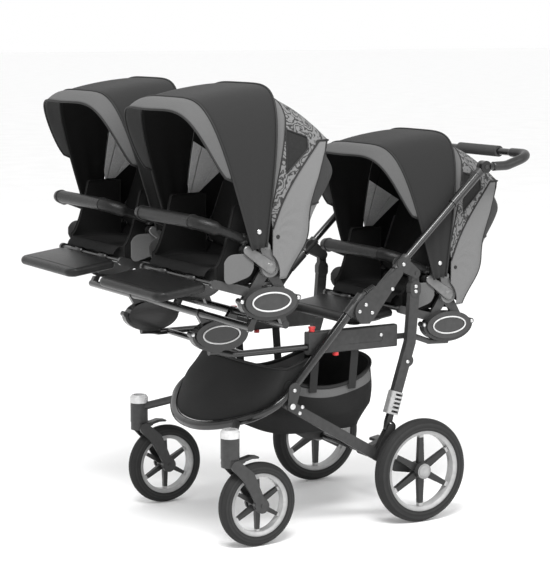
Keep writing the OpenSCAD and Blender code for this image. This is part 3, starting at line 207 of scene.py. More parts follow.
def addNode(tree, kind, values=(), operation=None):
    node = tree.nodes.new("ShaderNode" + kind)
    if operation:
        node.operation = operation
    for socket, value in dict(values).items():
        if isinstance(value, bpy.types.NodeSocket):
            tree.links.new(value, node.inputs[socket])
        else:
            node.inputs[socket].default_value = value
    return node


def shade(value):
    return (*value, 1) if isinstance(value, tuple) else (value, value, value, 1)


def surface(name, dark, light, rough, scale=60.0, bump=0.0, bumpScale=400.0, metal=0.0, gloss=0.5, coat=0.0,
            sheen=0.0, pattern="noise"):
    v = surfaceValues
    mat = bpy.data.materials.new(name)
    mat.use_nodes = True
    tree, links = mat.node_tree, mat.node_tree.links
    shader = tree.nodes["Principled BSDF"]
    for socket, value in (("Roughness", rough), ("Metallic", metal), ("Specular IOR Level", gloss),
                          ("Coat Weight", coat), ("Coat Roughness", v["coatRough"]), ("Sheen Weight", sheen)):
        shader.inputs[socket].default_value = value
    where = addNode(tree, "TexCoord").outputs["Object"]
    noise = addNode(tree, "TexNoise", {"Vector": where, "Scale": scale, "Detail": v["detail"]}).outputs["Fac"]
    source, stops = noise, v["ramp"]
    if pattern == "scribble":  # wandering strokes for the printed panel
        p = scribbleValues
        wave = addNode(tree, "TexWave", {"Vector": where, **p["wave"]}).outputs["Fac"]
        scaled = addNode(tree, "Math", {0: noise, 1: p["noiseShare"]}, "MULTIPLY").outputs[0]
        source = addNode(tree, "Math", {0: wave, 1: p["waveShare"], 2: scaled}, "MULTIPLY_ADD").outputs[0]
        stops = p["ramp"]
    ramp = addNode(tree, "ValToRGB", {"Fac": source})
    for k, value in enumerate((dark, light)):
        ramp.color_ramp.elements[k].color = shade(value)
        ramp.color_ramp.elements[k].position = stops[k]
    links.new(ramp.outputs["Color"], shader.inputs["Base Color"])
    if bump:
        kind, output = ("TexVoronoi", "Distance") if pattern == "hide" else ("TexNoise", "Fac")
        grain = addNode(tree, kind, {"Vector": where, "Scale": bumpScale}).outputs[output]
        raised = addNode(tree, "Bump", {"Strength": bump, "Distance": v["bumpDepth"], "Height": grain})
        links.new(raised.outputs["Normal"], shader.inputs["Normal"])
    return mat


def wheelSurface(name, centre, stops, rough, metal=0.0, gloss=0.3, bump=0.0, bumpScale=400.0):
    mat = surface(name, 0.82, 1.0, rough, 70, bump, bumpScale, metal, gloss)
    tree = mat.node_tree
    base = tree.nodes["Principled BSDF"].inputs["Base Color"]
    reach = stops[-1][0]
    where = addNode(tree, "TexCoord").outputs["Object"]
    offset = addNode(tree, "VectorMath", {0: where, 1: [float(v) for v in centre]}, "SUBTRACT").outputs[0]
    flat = addNode(tree, "VectorMath", {0: offset, 1: (0, 1, 1)}, "MULTIPLY").outputs[0]
    far = addNode(tree, "VectorMath", {0: flat}, "LENGTH").outputs["Value"]  # from the wheel's axis
    rings = addNode(tree, "ValToRGB", {"Fac": addNode(tree, "Math", {0: far, 1: 1 / reach}, "MULTIPLY").outputs[0]})
    while len(rings.color_ramp.elements) < len(stops):
        rings.color_ramp.elements.new(0.5)
    for element, (place, value) in zip(rings.color_ramp.elements, stops):
        element.position = place / reach
        element.color = shade(value)
    mixed = addNode(tree, "VectorMath", {0: rings.outputs["Color"], 1: base.links[0].from_socket}, "MULTIPLY")
    tree.links.new(mixed.outputs[0], base)
    return mat


# Paints a convex patch in two tones over a material's colour; both uses paint the light and shade seen through the
# canopy's mesh windows.
def addRegion(mat, origin, corners, shades):
    v = regionValues
    tree = mat.node_tree
    base = tree.nodes["Principled BSDF"].inputs["Base Color"]
    where = addNode(tree, "TexCoord").outputs["Object"]
    inside = None
    for (ny, nz), d in polygonEdges(corners):  # signed distance from each edge of a convex patch
        dot = addNode(tree, "VectorMath", {0: where, 1: (0, ny, nz)}, "DOT_PRODUCT").outputs["Value"]
        start = float(d + ny * origin[1] + nz * origin[2])
        less = addNode(tree, "Math", {0: dot, 1: start}, "SUBTRACT").outputs[0]
        inside = less if inside is None else addNode(tree, "Math", {0: inside, 1: less}, "MINIMUM").outputs[0]
    edge = addNode(tree, "Math", {0: inside, 1: v["sharp"], 2: 0.5}, "MULTIPLY_ADD")
    edge.use_clamp = True
    weave = addNode(tree, "TexVoronoi", {"Vector": where, "Scale": v["weave"]}).outputs["Distance"]
    ramp = addNode(tree, "ValToRGB", {"Fac": weave})
    for k in (0, 1):
        ramp.color_ramp.elements[k].color = shade(shades[k])
    mix = addNode(tree, "Mix")
    mix.data_type = "RGBA"
    for k, source in ((0, edge.outputs[0]), (6, base.links[0].from_socket), (7, ramp.outputs["Color"])):
        tree.links.new(source, mix.inputs[k])
    tree.links.new(mix.outputs[2], base)


def polygonEdges(corners):
    middle = np.mean(corners, 0)
    edges = []
    for a, b in zip(corners, corners[1:] + corners[:1]):
        a, b = np.array(a), np.array(b)
        n = np.array([a[1] - b[1], b[0] - a[0]]) / np.linalg.norm(b - a)
        if n @ (middle - a) < 0:
            n = -n
        edges.append(((float(n[0]), float(n[1])), float(n @ a)))
    return edges


looks = {
    "paint": surface("glossBlackPaint", 0.008, 0.012, 0.24, 30, gloss=0.3, coat=0.4),
    "housing": surface("greyHousing", 0.020, 0.030, 0.42, 80, 0.10, 900, gloss=0.35),
    "plastic": surface("blackPlastic", 0.011, 0.017, 0.36, 80, 0.10, 900, gloss=0.4),
    "pale": surface("palePlastic", 0.42, 0.54, 0.40, 60, 0.05, 900),
    "steel": surface("brightSteel", 0.42, 0.60, 0.28, 200, metal=0.9),
    "silver": surface("silverShock", 0.28, 0.38, 0.34, 120, metal=0.35),
    "red": surface("redKnob", (0.42, 0.012, 0.012), (0.55, 0.02, 0.02), 0.35, 80),
    "foam": surface("handleFoam", 0.034, 0.056, 0.85, 420, 0.35, 1400, gloss=0.2),
    "hood": surface("charcoalCloth", 0.015, 0.021, 0.88, 900, 0.22, 2200, gloss=0.12, sheen=0.06),
    "grey": surface("greyCloth", 0.064, 0.084, 0.85, 900, 0.22, 2200, gloss=0.15, sheen=0.06),
    "strip": surface("stripCloth", 0.088, 0.112, 0.85, 900, 0.22, 2200, gloss=0.15, sheen=0.06),
    "wing": surface("wingCloth", 0.118, 0.146, 0.85, 700, 0.22, 2000, gloss=0.15, sheen=0.06),
    "print": surface("scribblePrint", 0.028, 0.140, 0.85, 70, 0.15, 2000, gloss=0.15, pattern="scribble"),
    "lining": surface("blackLining", 0.008, 0.013, 0.90, 700, 0.20, 1800, gloss=0.12),
    "piping": surface("darkPiping", 0.011, 0.017, 0.65, 500, 0.15, 1500, gloss=0.25),
    "pouch": surface("pouchCloth", 0.032, 0.048, 0.85, 700, 0.25, 1600, gloss=0.15),
    "hide": surface("leatherette", 0.007, 0.012, 0.36, 90, 0.25, 420, gloss=0.18, pattern="hide"),
    "basket": surface("basketCloth", 0.011, 0.017, 0.82, 600, 0.25, 1700, gloss=0.15),
    "panel": surface("panelCloth", 0.019, 0.027, 0.82, 600, 0.25, 1700, gloss=0.15),
    "netting": surface("basketNet", 0.085, 0.130, 0.80, 1300, 0.30, 2500, gloss=0.15),
    "gloss": surface("glossGrey", 0.085, 0.115, 0.22, 60, gloss=0.5, coat=0.3),
    "seat": surface("seatPlastic", 0.014, 0.022, 0.32, 70, 0.08, 900, coat=0.2),
}

wear = {
    "paint": ["front_hoop", "push_tubes", "handle_bar", "carriage_frame", "twin_adapter", "rear_axle"],
    "housing": ["swing_brackets", "caster_posts", "hinge_sockets", "rails", "rear_cradles", "upper_brackets",
                "hinge_covers", "handle_joints", "rear_legs", "swing_arms", "fork_left", "fork_right"],
    "plastic": ["release_collars", "brake_pedal", "swivel_lock_left", "swivel_lock_right", "shock_plungers"],
    "pale": ["caster_rings"],
    "steel": ["swing_pivots"],
    "silver": ["shock_covers"],
    "red": ["carriage_knobs"],
    "foam": ["handle_grip"],
    "seat": ["seat_frame_left", "seat_frame_right", "seat_frame_rear"],
    "gloss": ["backrest_frame_left", "backrest_frame_right", "backrest_frame_rear"],
}
wheelValues = {
    "rear": {"rim": 0.113, "tyre": 0.145, "hubCap": 0.0205, "ring": 0.092},
    "front": {"rim": 0.085, "tyre": 0.113, "hubCap": 0.0155, "ring": 0.067},
}
for end, v in wheelValues.items():
    for side in ("left", "right"):
        centre = spots["%s_wheel_spin_%s" % (end, side)]
        rim, tyre = "%sRim_%s" % (end, side), "%sTyre_%s" % (end, side)
        looks[rim] = wheelSurface(rim, centre, [
            (0.0, 0.30), (v["hubCap"], 0.26), (v["hubCap"] + 0.001, 0.016), (v["ring"], 0.018),
            (v["ring"] + 0.002, 0.40), (v["rim"] - 0.006, 0.34), (v["rim"], 0.22)], 0.36, 0.2, 0.4)
        looks[tyre] = wheelSurface(tyre, centre, [
            (0.0, 0.02), (v["rim"] + 0.002, 0.014), (v["rim"] + 0.008, 0.026), (v["rim"] + 0.009, 0.012),
            (v["tyre"] - 0.012, 0.024), (v["tyre"] - 0.011, 0.011), (v["tyre"], 0.018)], 0.7, 0.0, 0.25, 0.25, 350)
        wear[rim], wear[tyre] = ["%s_rim_%s" % (end, side)], ["%s_tyre_%s" % (end, side)]
for look, names in wear.items():
    for name in names:
        nodes[name].data.materials.clear()
        nodes[name].data.materials.append(looks[look])
print("stage: materials", len(looks))

hoodValues = {
    "halfWidth": 0.226, "power": 4.9, "footY": -0.032, "footZ": 0.043, "start": 11.0,
    "pivotY": -0.015, "pivotZ": 0.140, "frontHeight": 0.481, "frontLean": 16.8, "rearHeight": 0.496, "rearLean": -7.4,
    "sag": 0.005, "ripple": 0.0016, "visorLength": 0.070, "visorDrop": 24.0, "visorStart": 30.0, "visorPower": 0.45,
    "visorLift": 0.010, "cloth": 0.0026, "piping": 0.0027, "panelWidth": 0.98, "visorWidth": 0.72, "visorLeast": 0.08,
    "snap": (-0.040, 0.178), "snapProfile": [(0.0065, 0), (0.0065, 0.0015), (0.005, 0.003), (0.002, 0.0036)],
}
coverValues = {
    "halfWidth": 0.219, "cornerRadius": 0.034, "low": 0.056, "frontLow": 0.118, "top": 0.395, "frontTop": 0.182,
    "footY": 0.052, "footZ": 0.050, "lean": 21.0, "belly": 0.024, "bellyZ": 0.150, "bellySpan": 0.060, "crown": 0.040,
    "pouchDepth": 0.076, "pouchSplit": 0.52, "pouchStart": 6.2, "bowHeight": 0.483, "bowLean": -5.9, "bowStart": 25.0,
    "bulge": 0.012, "strip": 0.045, "cloth": 0.0026, "piping": 0.0025, "crease": 0.0022,
    "wingWidth": 0.88, "printWidth": 0.80, "stripWidth": 0.95,
    # window: painted near-black on the print, dark mesh with the painted shade of the hood's interior behind it
    "window": [(0.051, 0.426), (0.112, 0.405), (0.111, 0.376), (0.044, 0.318)], "windowShades": (0.010, 0.022),
    # innerMesh: pale patch painted on the canopy lining, painted light standing for the bright outside seen through
    # the far mesh window into the shaded hood
    "innerMesh": [(0.005, 0.376), (0.112, 0.313), (-0.015, 0.206)], "meshShades": (0.50, 0.75),
    "button": (0.2188, 0.017, 0.162),
    "buttonProfile": [(0.005, 0), (0.005, 0.0012), (0.003, 0.0018), (0.001, 0.0019)],
}


def bowSpot(angle, halfWidth, height, lean):
    v = hoodValues
    c, s = np.cos(angle), np.sin(angle)
    d = (np.abs(c) ** v["power"] + np.abs(s) ** v["power"]) ** (1 / v["power"])
    r = height * s / d
    return np.stack([halfWidth * c / d, v["footY"] - r * np.sin(np.radians(lean)),
                     v["footZ"] + r * np.cos(np.radians(lean))], -1)


def makeHood(side, origin):
    v = hoodValues
    body = "hood_" + side
    angle = np.radians(np.linspace(v["start"], 180 - v["start"], 97))[None, :]
    across = np.linspace(0, 1, 19)[:, None]
    tight = np.sin(angle) ** 0.5
    ripple = v["ripple"] * np.sin(across * 16 + np.cos(angle) * 9) * (1 - np.sin(angle)) ** 1.5
    height = lerp(v["frontHeight"], v["rearHeight"], across) - v["sag"] * np.sin(math.pi * across) * tight
    lean = lerp(v["frontLean"], v["rearLean"], across) + 0 * angle
    panel = bowSpot(angle + 0 * across, v["halfWidth"] + ripple, height, lean) + origin
    hood = clothPiece(panel, "hoodPanel_" + side, body, ["hood", "lining"],
                      ["hood_" + side], origin + [0, 0, 0.2], v["cloth"])
    declareSheet(hood, v["panelWidth"], 1.12)
    angle = np.radians(np.linspace(v["visorStart"], 180 - v["visorStart"], 81))
    edge = bowSpot(angle, v["halfWidth"], v["frontHeight"], v["frontLean"])
    f = (np.degrees(angle) - v["visorStart"]) / (180 - 2 * v["visorStart"])
    brim = 0.001 + v["visorLength"] * np.maximum(np.sin(math.pi * f), 0) ** v["visorPower"]
    drop = math.radians(v["visorDrop"])
    rows = []
    for q in np.linspace(0, 1, 11):
        lift = v["visorLift"] * math.sin(math.pi * q) * np.sin(math.pi * f)
        rows.append(edge + np.stack([0 * f, -q * brim * math.cos(drop), -q * brim * math.sin(drop) + lift], -1))
    rows = np.array(rows) + origin
    visor = clothPiece(rows, "hoodVisor_" + side, body, ["grey"] * 2, [],
                       origin + [0, 0.1, 0.2], v["cloth"])
    declareSheet(visor, v["visorWidth"], 1.3, v["visorLeast"])
    trim = Shape()
    a = np.radians(np.linspace(v["start"], 180 - v["start"], 91))
    for h, lean in ((v["frontHeight"], v["frontLean"]), (v["rearHeight"], v["rearLean"])):
        trim.tube(bowSpot(a, v["halfWidth"] + 0.001, h + 0.001, lean) + origin, v["piping"], 0, 8)
    trim.tube(rows[-1], v["piping"] * 1.1, 0, 8)
    trim.piece("hoodPiping_" + side, body, ["piping"])
    snaps = Shape()
    for s in (-1, 1):
        snaps.lathe(origin + [s * (v["halfWidth"] - 0.001), *v["snap"]], (s, 0, 0), v["snapProfile"])
    snaps.piece("hoodSnaps_" + side, body, ["steel"])


def backLine(z):
    v = coverValues
    return (v["footY"] + (z - v["footZ"]) * math.tan(math.radians(v["lean"]))
            + v["belly"] * np.exp(-((z - v["bellyZ"]) / v["bellySpan"]) ** 2))


def smooth(t):
    t = np.clip(t, 0, 1)
    return t * t * (3 - 2 * t)


def insideHood(p):
    h = hoodValues
    rise = ((h["pivotZ"] - h["footZ"]) * math.cos(math.radians(h["rearLean"]))
            - (h["pivotY"] - h["footY"]) * math.sin(math.radians(h["rearLean"])))
    far = np.hypot(p[..., 1] - h["pivotY"], p[..., 2] - h["pivotZ"])
    q = np.minimum(1, (far + rise) / (h["rearHeight"] - 0.003))
    room = (h["halfWidth"] - 0.003) * (1 - q ** h["power"]) ** (1 / h["power"]) - 0.004 - 0.010 * q ** 4
    p[..., 0] = np.minimum(p[..., 0], room)
    return p


def coverSpot(c, f):
    v = coverValues
    front = np.maximum(0, 1 - c / 4)
    turn = np.radians(90 * np.clip((c - 4) / 4, 0, 1))
    across = np.minimum(1, (12 - c) / 4)
    z = lerp(lerp(v["low"], v["frontLow"], front), lerp(v["top"], v["frontTop"], front), f)
    flat = v["halfWidth"] - v["cornerRadius"]
    x = np.where(c <= 8, flat + v["cornerRadius"] * np.cos(turn), flat * across)
    swell = np.where(f < 0.72, smooth((f - 0.16) / 0.56), smooth((1 - f) / 0.28))
    crown = np.where(c > 8, v["crown"] * (1 - across ** 2) + v["pouchDepth"] * swell * (1 - across ** 4), 0)
    y = backLine(z) - v["cornerRadius"] + v["cornerRadius"] * np.sin(turn) + crown
    y = lerp(y, 0.003, front)
    x = x * (1 - 0.06 * smooth((f - 0.7) / 0.3) * smooth((c - 2) / 2))
    fade = smooth((c - 0.4) / 1.5) * smooth((6.5 - c) / 2) * np.sin(math.pi * f)
    fold = v["crease"] * np.sin(26 * f + 2.1 * c) * fade
    return insideHood(np.stack([x - np.abs(fold), y, z + 0 * x], -1))


def canopySpot(c, g):
    v = coverValues
    top = coverSpot(c, 1.0 + 0 * c)
    angle = np.radians(lerp(v["bowStart"], 90.0, c / 12))
    bow = bowSpot(angle, v["halfWidth"], v["bowHeight"], v["bowLean"])
    bulge = v["bulge"] * np.sin(math.pi * g) * np.sin(math.pi / 2 * c / 12)
    p = lerp(top, bow, g[..., None])
    p[..., 1] += bulge
    p[..., 2] += bulge
    return insideHood(p)


def stripStart(c):
    v = coverValues
    top, bow = canopySpot(c, 0 * c), canopySpot(c, 1 + 0 * c)
    return 1 - v["strip"] / np.linalg.norm(bow - top, axis=-1)


def mirrored(points):
    other = points[:, ::-1][:, 1:].copy()
    other[..., 0] *= -1
    return np.concatenate([points, other], 1)


def makeCover(side, origin):
    v = coverValues
    body = "back_" + side
    away = origin + [0, -0.05, 0.25]
    c = np.concatenate([np.linspace(0, 4, 21), np.linspace(4, 8, 17)[1:], np.linspace(8, 12, 21)[1:]])
    f = np.linspace(0, 1, 41)
    points = mirrored(coverSpot(c[None, :] + 0 * f[:, None], f[:, None] + 0 * c[None, :])) + origin
    steps = np.concatenate([c, c[::-1][1:]])
    printed, lined = looks["print"].copy(), looks["lining"].copy()
    printed.name, lined.name = "scribblePrint_" + side, "canopyLining_" + side
    # near-black window patch on the print: dark mesh with the painted shade of the interior seen through it
    addRegion(printed, origin, v["window"], v["windowShades"])
    # pale patch on the lining: painted light from the bright outside seen through the far mesh window
    addRegion(lined, origin, v["innerMesh"], v["meshShades"])
    shell = Shape()
    shell.grid(points, marker=lambda p, r, k: int(steps[k] >= v["pouchStart"] and f[r] >= v["pouchSplit"]))
    wings = shell.piece("backCloth_" + side, body, ["wing", "pouch", lined, lined],
                        ["backrest_cover_" + side], away, v["cloth"])
    declareSheet(wings, v["wingWidth"], 1.15)
    c = np.concatenate([np.linspace(0, 6, 61), np.linspace(6, 12, 31)[1:]])
    start = stripStart(c)
    g = np.linspace(0, 1, 37)
    both = mirrored(canopySpot(c[None, :] + 0 * g[:, None], g[:, None] * start[None, :]))
    canopy = clothPiece(both + origin, "canopyPrint_" + side, body, [printed, lined], [], away,
                        v["cloth"])
    declareSheet(canopy, v["printWidth"], 1.2)
    g = np.linspace(0, 1, 7)
    strip = mirrored(canopySpot(c[None, :] + 0 * g[:, None], lerp(start[None, :], 1.0, g[:, None]))) + origin
    band = clothPiece(strip, "canopyStrip_" + side, body, ["strip", lined], [], away, v["cloth"])
    declareSheet(band, v["stripWidth"], 1.1)
    trim = Shape()
    e = np.linspace(0, 12, 73)
    trim.tube(mirrored(coverSpot(e, 1 + 0 * e)[None])[0] + origin, v["piping"], 0, 8)
    trim.tube(strip[0], v["piping"] * 0.7, 0, 8)
    rise = np.linspace(0, 1, 41)
    outline = dense([*v["window"], v["window"][0]], 0.006)
    border = np.column_stack([pointsNear(both, outline), outline]) + [0.0008, 0, 0]
    for s in (1, -1):
        trim.tube(coverSpot(v["pouchStart"] + 0 * rise, rise) * [s, 1, 1] + origin, v["piping"], 0, 8)
        trim.tube(border * [s, 1, 1] + origin, v["piping"] * 0.8, 0, 8)
        trim.lathe(origin + np.array(v["button"]) * [s, 1, 1], (s, 0, 0), v["buttonProfile"])
    e = np.linspace(v["pouchStart"], 12, 33)
    trim.tube(mirrored(coverSpot(e, v["pouchSplit"] + 0 * e)[None])[0] + origin, v["piping"], 0, 8)
    trim.piece("coverPiping_" + side, body, ["piping"])


def pointsNear(grid, outline):
    flat = grid.reshape(-1, 3)
    flat = flat[flat[:, 0] > 0.12]
    return np.array([flat[np.argmin(((flat[:, 1:] - p) ** 2).sum(1)), 0] for p in outline])


tubValues = {"halfWidth": 0.1795, "low": 0.043, "front": -0.1335, "back": 0.019, "wall": 0.016, "seat": 0.084,
             "crown": 0.010, "frontWall": 0.092, "backWall": 0.243, "rise": 0.052, "floorShare": 0.6,
             "floorReach": 0.57, "lip": 0.004, "bow": 0.003, "groove": 0.004, "grooveAt": 0.34, "fill": 0.7}


def makeTub(side, origin):
    v = tubValues
    rows, cols = 25, 41
    within = v["halfWidth"] - v["wall"]
    outer, inner = np.zeros((rows, cols, 3)), np.zeros((rows, cols, 3))
    for r in range(rows):
        g = r / (rows - 1)
        y = lerp(v["front"], v["back"], g ** 1.25)
        wallZ = lerp(v["frontWall"], v["backWall"], min(1, (y - v["front"]) / v["rise"]) ** 1.6)
        bowed = v["halfWidth"] - v["bow"] * math.sin(math.pi * g)
        for k in range(cols):
            q = k / (cols - 1) * 2 - 1
            s, a = (1 if q > 0 else -1), abs(q)
            crown = v["crown"] * math.cos(math.radians(q * 120)) * math.sin(math.pi * lerp(0.12, 0.88, g))
            groove = v["groove"] * math.exp(-((a - v["grooveAt"]) / 0.03) ** 2)
            if a > v["floorShare"]:
                up = (a - v["floorShare"]) / (1 - v["floorShare"])
                outer[r, k] = (s * bowed, y, lerp(v["low"] + v["lip"], wallZ, up))
                inner[r, k] = (s * within, y, lerp(v["seat"] + v["lip"], wallZ - 0.002, up))
            else:
                wide = s * min(1, a / v["floorReach"])
                outer[r, k] = (wide * v["halfWidth"], y, v["low"])
                inner[r, k] = (wide * within, y, v["seat"] + crown - groove)
    shell = Shape()
    shell.grid(outer + origin)
    shell.grid(inner[:, ::-1] + origin)
    o = lambda r, k: r * cols + k
    i = lambda r, k: rows * cols + r * cols + (cols - 1 - k)
    rim = []
    for k in range(cols - 1):
        for r, a, b in ((0, k, k + 1), (rows - 1, k + 1, k)):
            rim.append((o(r, a), o(r, b), i(r, b), i(r, a)))
    for r in range(rows - 1):
        for k, a, b in ((0, r + 1, r), (cols - 1, r, r + 1)):
            rim.append((o(a, k), o(b, k), i(b, k), i(a, k)))
    shell.faces += rim
    shell.marks += [0] * len(rim)
    tub = shell.piece("seatPad_" + side, "seat_" + side, ["lining"], ["seat_tub_" + side],
                      origin + [0, -0.06, 0.07], subdivide=1)
    return tub


def pillow(shell, place, outline, thick, edge, crown, cols, rows, grooves=()):
    s = np.sin(np.linspace(-1, 1, cols) * math.pi / 2)
    t = (1 - np.cos(np.linspace(0, 1, rows) * math.pi)) / 2
    for top in (1, -1):
        points = np.zeros((rows, cols, 3))
        for k, q in enumerate(s):
            x, low, high = outline(q)
            for r, w in enumerate(t):
                along = lerp(low, high, w)
                near = min((1 - abs(q)) * abs(outline(1)[0]), (along - low), (high - along))
                rise = math.sqrt(max(0, 1 - (1 - min(1, near / edge)) ** 2))
                out = top * thick / 2 * rise
                if top > 0:  # only the upper face is crowned and quilted
                    out += crown * (1 - q * q) * math.sin(math.pi * w)
                    out -= sum(0.35 * thick * math.exp(-((q - at) / 0.025) ** 2) for at in grooves) * rise
                points[r, k] = place(x, along, out)
        shell.grid(points if top > 0 else points[:, ::-1])


apronValues = {"halfWidth": 0.152, "top": (-0.1346, 0.087), "low": (-0.1565, 0.0645), "bulge": 0.004, "cloth": 0.002,
               "wave": 0.0012}


def makeApron(side, origin):
    v = apronValues
    f = np.linspace(0, 1, 13)[:, None]
    x = np.linspace(-v["halfWidth"], v["halfWidth"], 61)[None, :]
    y = lerp(v["top"][0], v["low"][0], f) - v["bulge"] * np.sin(math.pi * f) + 0 * x
    z = lerp(v["top"][1], v["low"][1], f ** 1.3) + v["wave"] * np.sin(x * 95) * f
    apron = clothPiece(np.stack([x + 0 * f, y, z], -1) + origin, "seatApron_" + side, "seat_" + side,
                       ["lining"] * 2, [], origin + [0, 0.1, -0.1], v["cloth"])
    declareSheet(apron, round(2 * v["halfWidth"], 3), 1.05)


flapValues = {"face": 0.2079, "middleY": -0.0875, "middleZ": 0.085, "halfWidth": 0.0415, "low": 0.045, "high": 0.124,
              "thick": 0.0022, "slant": 0.012, "lowCorner": 0.018, "highCorner": 0.020, "fill": 0.3}


def makeFlaps(side, origin):
    v = flapValues

    def outline(q):
        low = v["low"] + v["slant"] * (1 + q) + v["lowCorner"] * abs(q) ** 6
        return v["halfWidth"] * q, low, v["high"] - v["highCorner"] * abs(q) ** 4

    shell = Shape()
    for s in (-1, 1):
        pillow(shell, lambda x, along, out: origin + [s * (v["face"] + out), v["middleY"] + s * x, along],
               outline, v["thick"], 0.002, 0.0004, 41, 31)
    flaps = shell.piece("sideFlaps_" + side, "seat_" + side, ["strip"], [],
                        origin + [0, v["middleY"], v["middleZ"]], weld=0.0001)


padValues = {"halfWidth": 0.184, "low": 0.104, "high": 0.392, "thick": 0.022, "footZ": 0.072, "headZ": 0.365,
             "ahead": 0.032, "board": 0.0045, "gap": 0.001, "lowCorner": 0.02, "highCorner": 0.03, "edge": 0.016,
             "crown": 0.006, "grooves": (-0.42, 0.42), "fill": 0.6}


def makeBackPad(side, origin):
    v = padValues
    foot, head = (float(backLine(v[z])) - v["ahead"] for z in ("footZ", "headZ"))
    slope = (head - foot) / (v["headZ"] - v["footZ"])
    tilt = math.atan(slope)
    lift = v["board"] + v["thick"] / 2 + v["gap"]

    def place(x, along, out):
        y = foot + slope * (along - v["footZ"])
        return origin + [x, y - (lift + out) * math.cos(tilt), along + (lift + out) * math.sin(tilt)]

    def outline(q):
        return v["halfWidth"] * q, v["low"] + v["lowCorner"] * abs(q) ** 6, v["high"] - v["highCorner"] * abs(q) ** 4

    shell = Shape()
    pillow(shell, place, outline, v["thick"], v["edge"], v["crown"], 45, 31, v["grooves"])
    pad = shell.piece("backPad_" + side, "back_" + side, ["lining"], [],
                      origin + [0, 0.06, 0.24], weld=0.0002)


bightValues = {"halfWidth": 0.172, "cloth": 0.0016,
               "line": ((0.0203, 0.060), (0.0203, 0.085), (0.022, 0.094), (0.036, 0.092), (0.0425, 0.104),
                        (0.0438, 0.1122))}


def makeBight(side, origin):
    v = bightValues
    f = np.linspace(0, 1, 21)
    last = len(v["line"]) - 1
    weights = np.array([math.comb(last, k) * f ** k * (1 - f) ** (last - k) for k in range(last + 1)])
    y, z = (weights.T @ np.array(v["line"])).T
    x = np.linspace(-v["halfWidth"], v["halfWidth"], 61)[None, :]
    corner = padValues["lowCorner"] * np.abs(x / padValues["halfWidth"]) ** 6
    rise = corner * f[:, None] ** 2  # follows the corners of the back pad
    lean = math.tan(math.radians(coverValues["lean"]))
    points = np.stack([x + 0 * rise, y[:, None] + lean * rise, z[:, None] + rise], -1) + origin
    ends = [tuple(origin + [0, *v["line"][k]]) for k in (1, last)]
    cloth = clothPiece(points, "seatBight_" + side, ("seat_" + side, "back_" + side, *ends),
                       ["lining"] * 2, [], origin + [0, 0.06, 0.04], v["cloth"])
    declareSheet(cloth, round(2 * v["halfWidth"], 3), 1.05)


footValues = {"rodY": -0.150, "rodZ": 0.052, "near": 0.0085, "far": 0.150, "halfWidth": 0.180, "corner": 0.034,
              "slope": 8.0, "thick": 0.023, "rise": -0.0075, "crown": 0.0035, "knuckle": 0.0109,
              "knuckleX": (0.0585, 0.08, 0.1015), "seamInset": 0.021, "seam": 0.0011, "fill": 0.8}


def makeFootrest(side, origin):
    v = footValues
    tilt = math.radians(v["slope"])
    body = "footrest_" + side

    def place(x, along, out):
        y, z = -along, out + v["rise"]
        return origin + [x, v["rodY"] + y * math.cos(tilt) - z * math.sin(tilt),
                         v["rodZ"] + y * math.sin(tilt) + z * math.cos(tilt)]

    def outline(q):
        x = v["halfWidth"] * q
        over = max(0, abs(x) - (v["halfWidth"] - v["corner"]))
        bend = v["corner"] - math.sqrt(v["corner"] ** 2 - over ** 2)
        return x, v["near"] + 0.4 * bend, v["far"] - bend

    shell = Shape()
    pillow(shell, place, outline, v["thick"], 0.012, v["crown"], 57, 27)
    for s in (-1, 1):
        shell.tube([origin + [s * x, v["rodY"], v["rodZ"]] for x in v["knuckleX"]], v["knuckle"], 1, 20)
    board = shell.piece("footPad_" + side, body, ["hide", "plastic"],
                        ["footrest_" + side], origin + [0, -0.225, 0.034], weld=0.0002)
    line = []
    for q in np.linspace(-1, 1, 61):
        x, low, high = outline(q * (1 - v["seamInset"] / v["halfWidth"]))
        out = v["thick"] / 2 + v["crown"] * (1 - q * q) * math.sin(math.pi * 0.86) - 0.0004
        line.append(place(x, high - v["seamInset"], out))
    seam = Shape()
    seam.tube(line, v["seam"], 0, 6)
    seam.piece("footStitch_" + side, body, ["lining"])


barValues = {"halfWidth": 0.194, "postY": -0.066, "postZ": 0.158, "reach": -0.178, "height": 0.202, "bend": 0.056,
             "foam": 0.0175, "tube": 0.0112, "foamHalf": 0.138, "stitch": 0.0012, "fill": 0.9,
             "postProfile": [(0.008, -0.0110), (0.0112, -0.0095), (0.0112, 0.0095), (0.008, 0.0110)]}


def makeBar(side, origin):
    v = barValues
    body = "bar_" + side
    path = [(v["halfWidth"], v["postY"], v["postZ"]), (v["halfWidth"], v["reach"], v["height"]),
            (-v["halfWidth"], v["reach"], v["height"]), (-v["halfWidth"], v["postY"], v["postZ"])]
    line = dense(rounded(path, [0, v["bend"], v["bend"], 0], 14), 0.006)
    run = (line[:, 1] - v["reach"]) / (v["postY"] - v["reach"])
    radius = lerp(v["foam"], v["tube"], smooth((run - 0.30) / 0.12))
    shell = Shape()
    shell.tube(line + origin, radius, 0, 20)
    for s in (-1, 1):
        shell.lathe(origin + [s * v["halfWidth"], v["postY"], v["postZ"]], (0, 0, 1), v["postProfile"], 1)
    bar = shell.piece("barPad_" + side, body, ["hide", "plastic"], ["bumper_bar_" + side],
                      origin + [0, -0.12, 0.19])
    rings = Shape()
    around = v["foam"] + 0.0004
    for x in (-v["foamHalf"], v["foamHalf"]):
        rings.tube([origin + [x, v["reach"] + around * math.cos(t), v["height"] + around * math.sin(t)]
                    for t in np.linspace(0, 2 * math.pi, 33)[:-1]], v["stitch"], 0, 6, True)
    rings.piece("barStitch_" + side, body, ["piping"])


ringValues = {"faceX": 0.2186, "halfWidth": 0.0540, "halfHeight": 0.0232, "thick": 0.0021}
armValues = {"hub": (0.0, 0.086), "post": (-0.066, 0.132), "hubRadius": 0.0165, "postRadius": 0.0115,
             "inner": 0.2118, "outer": 0.2160, "cap": 0.0205}


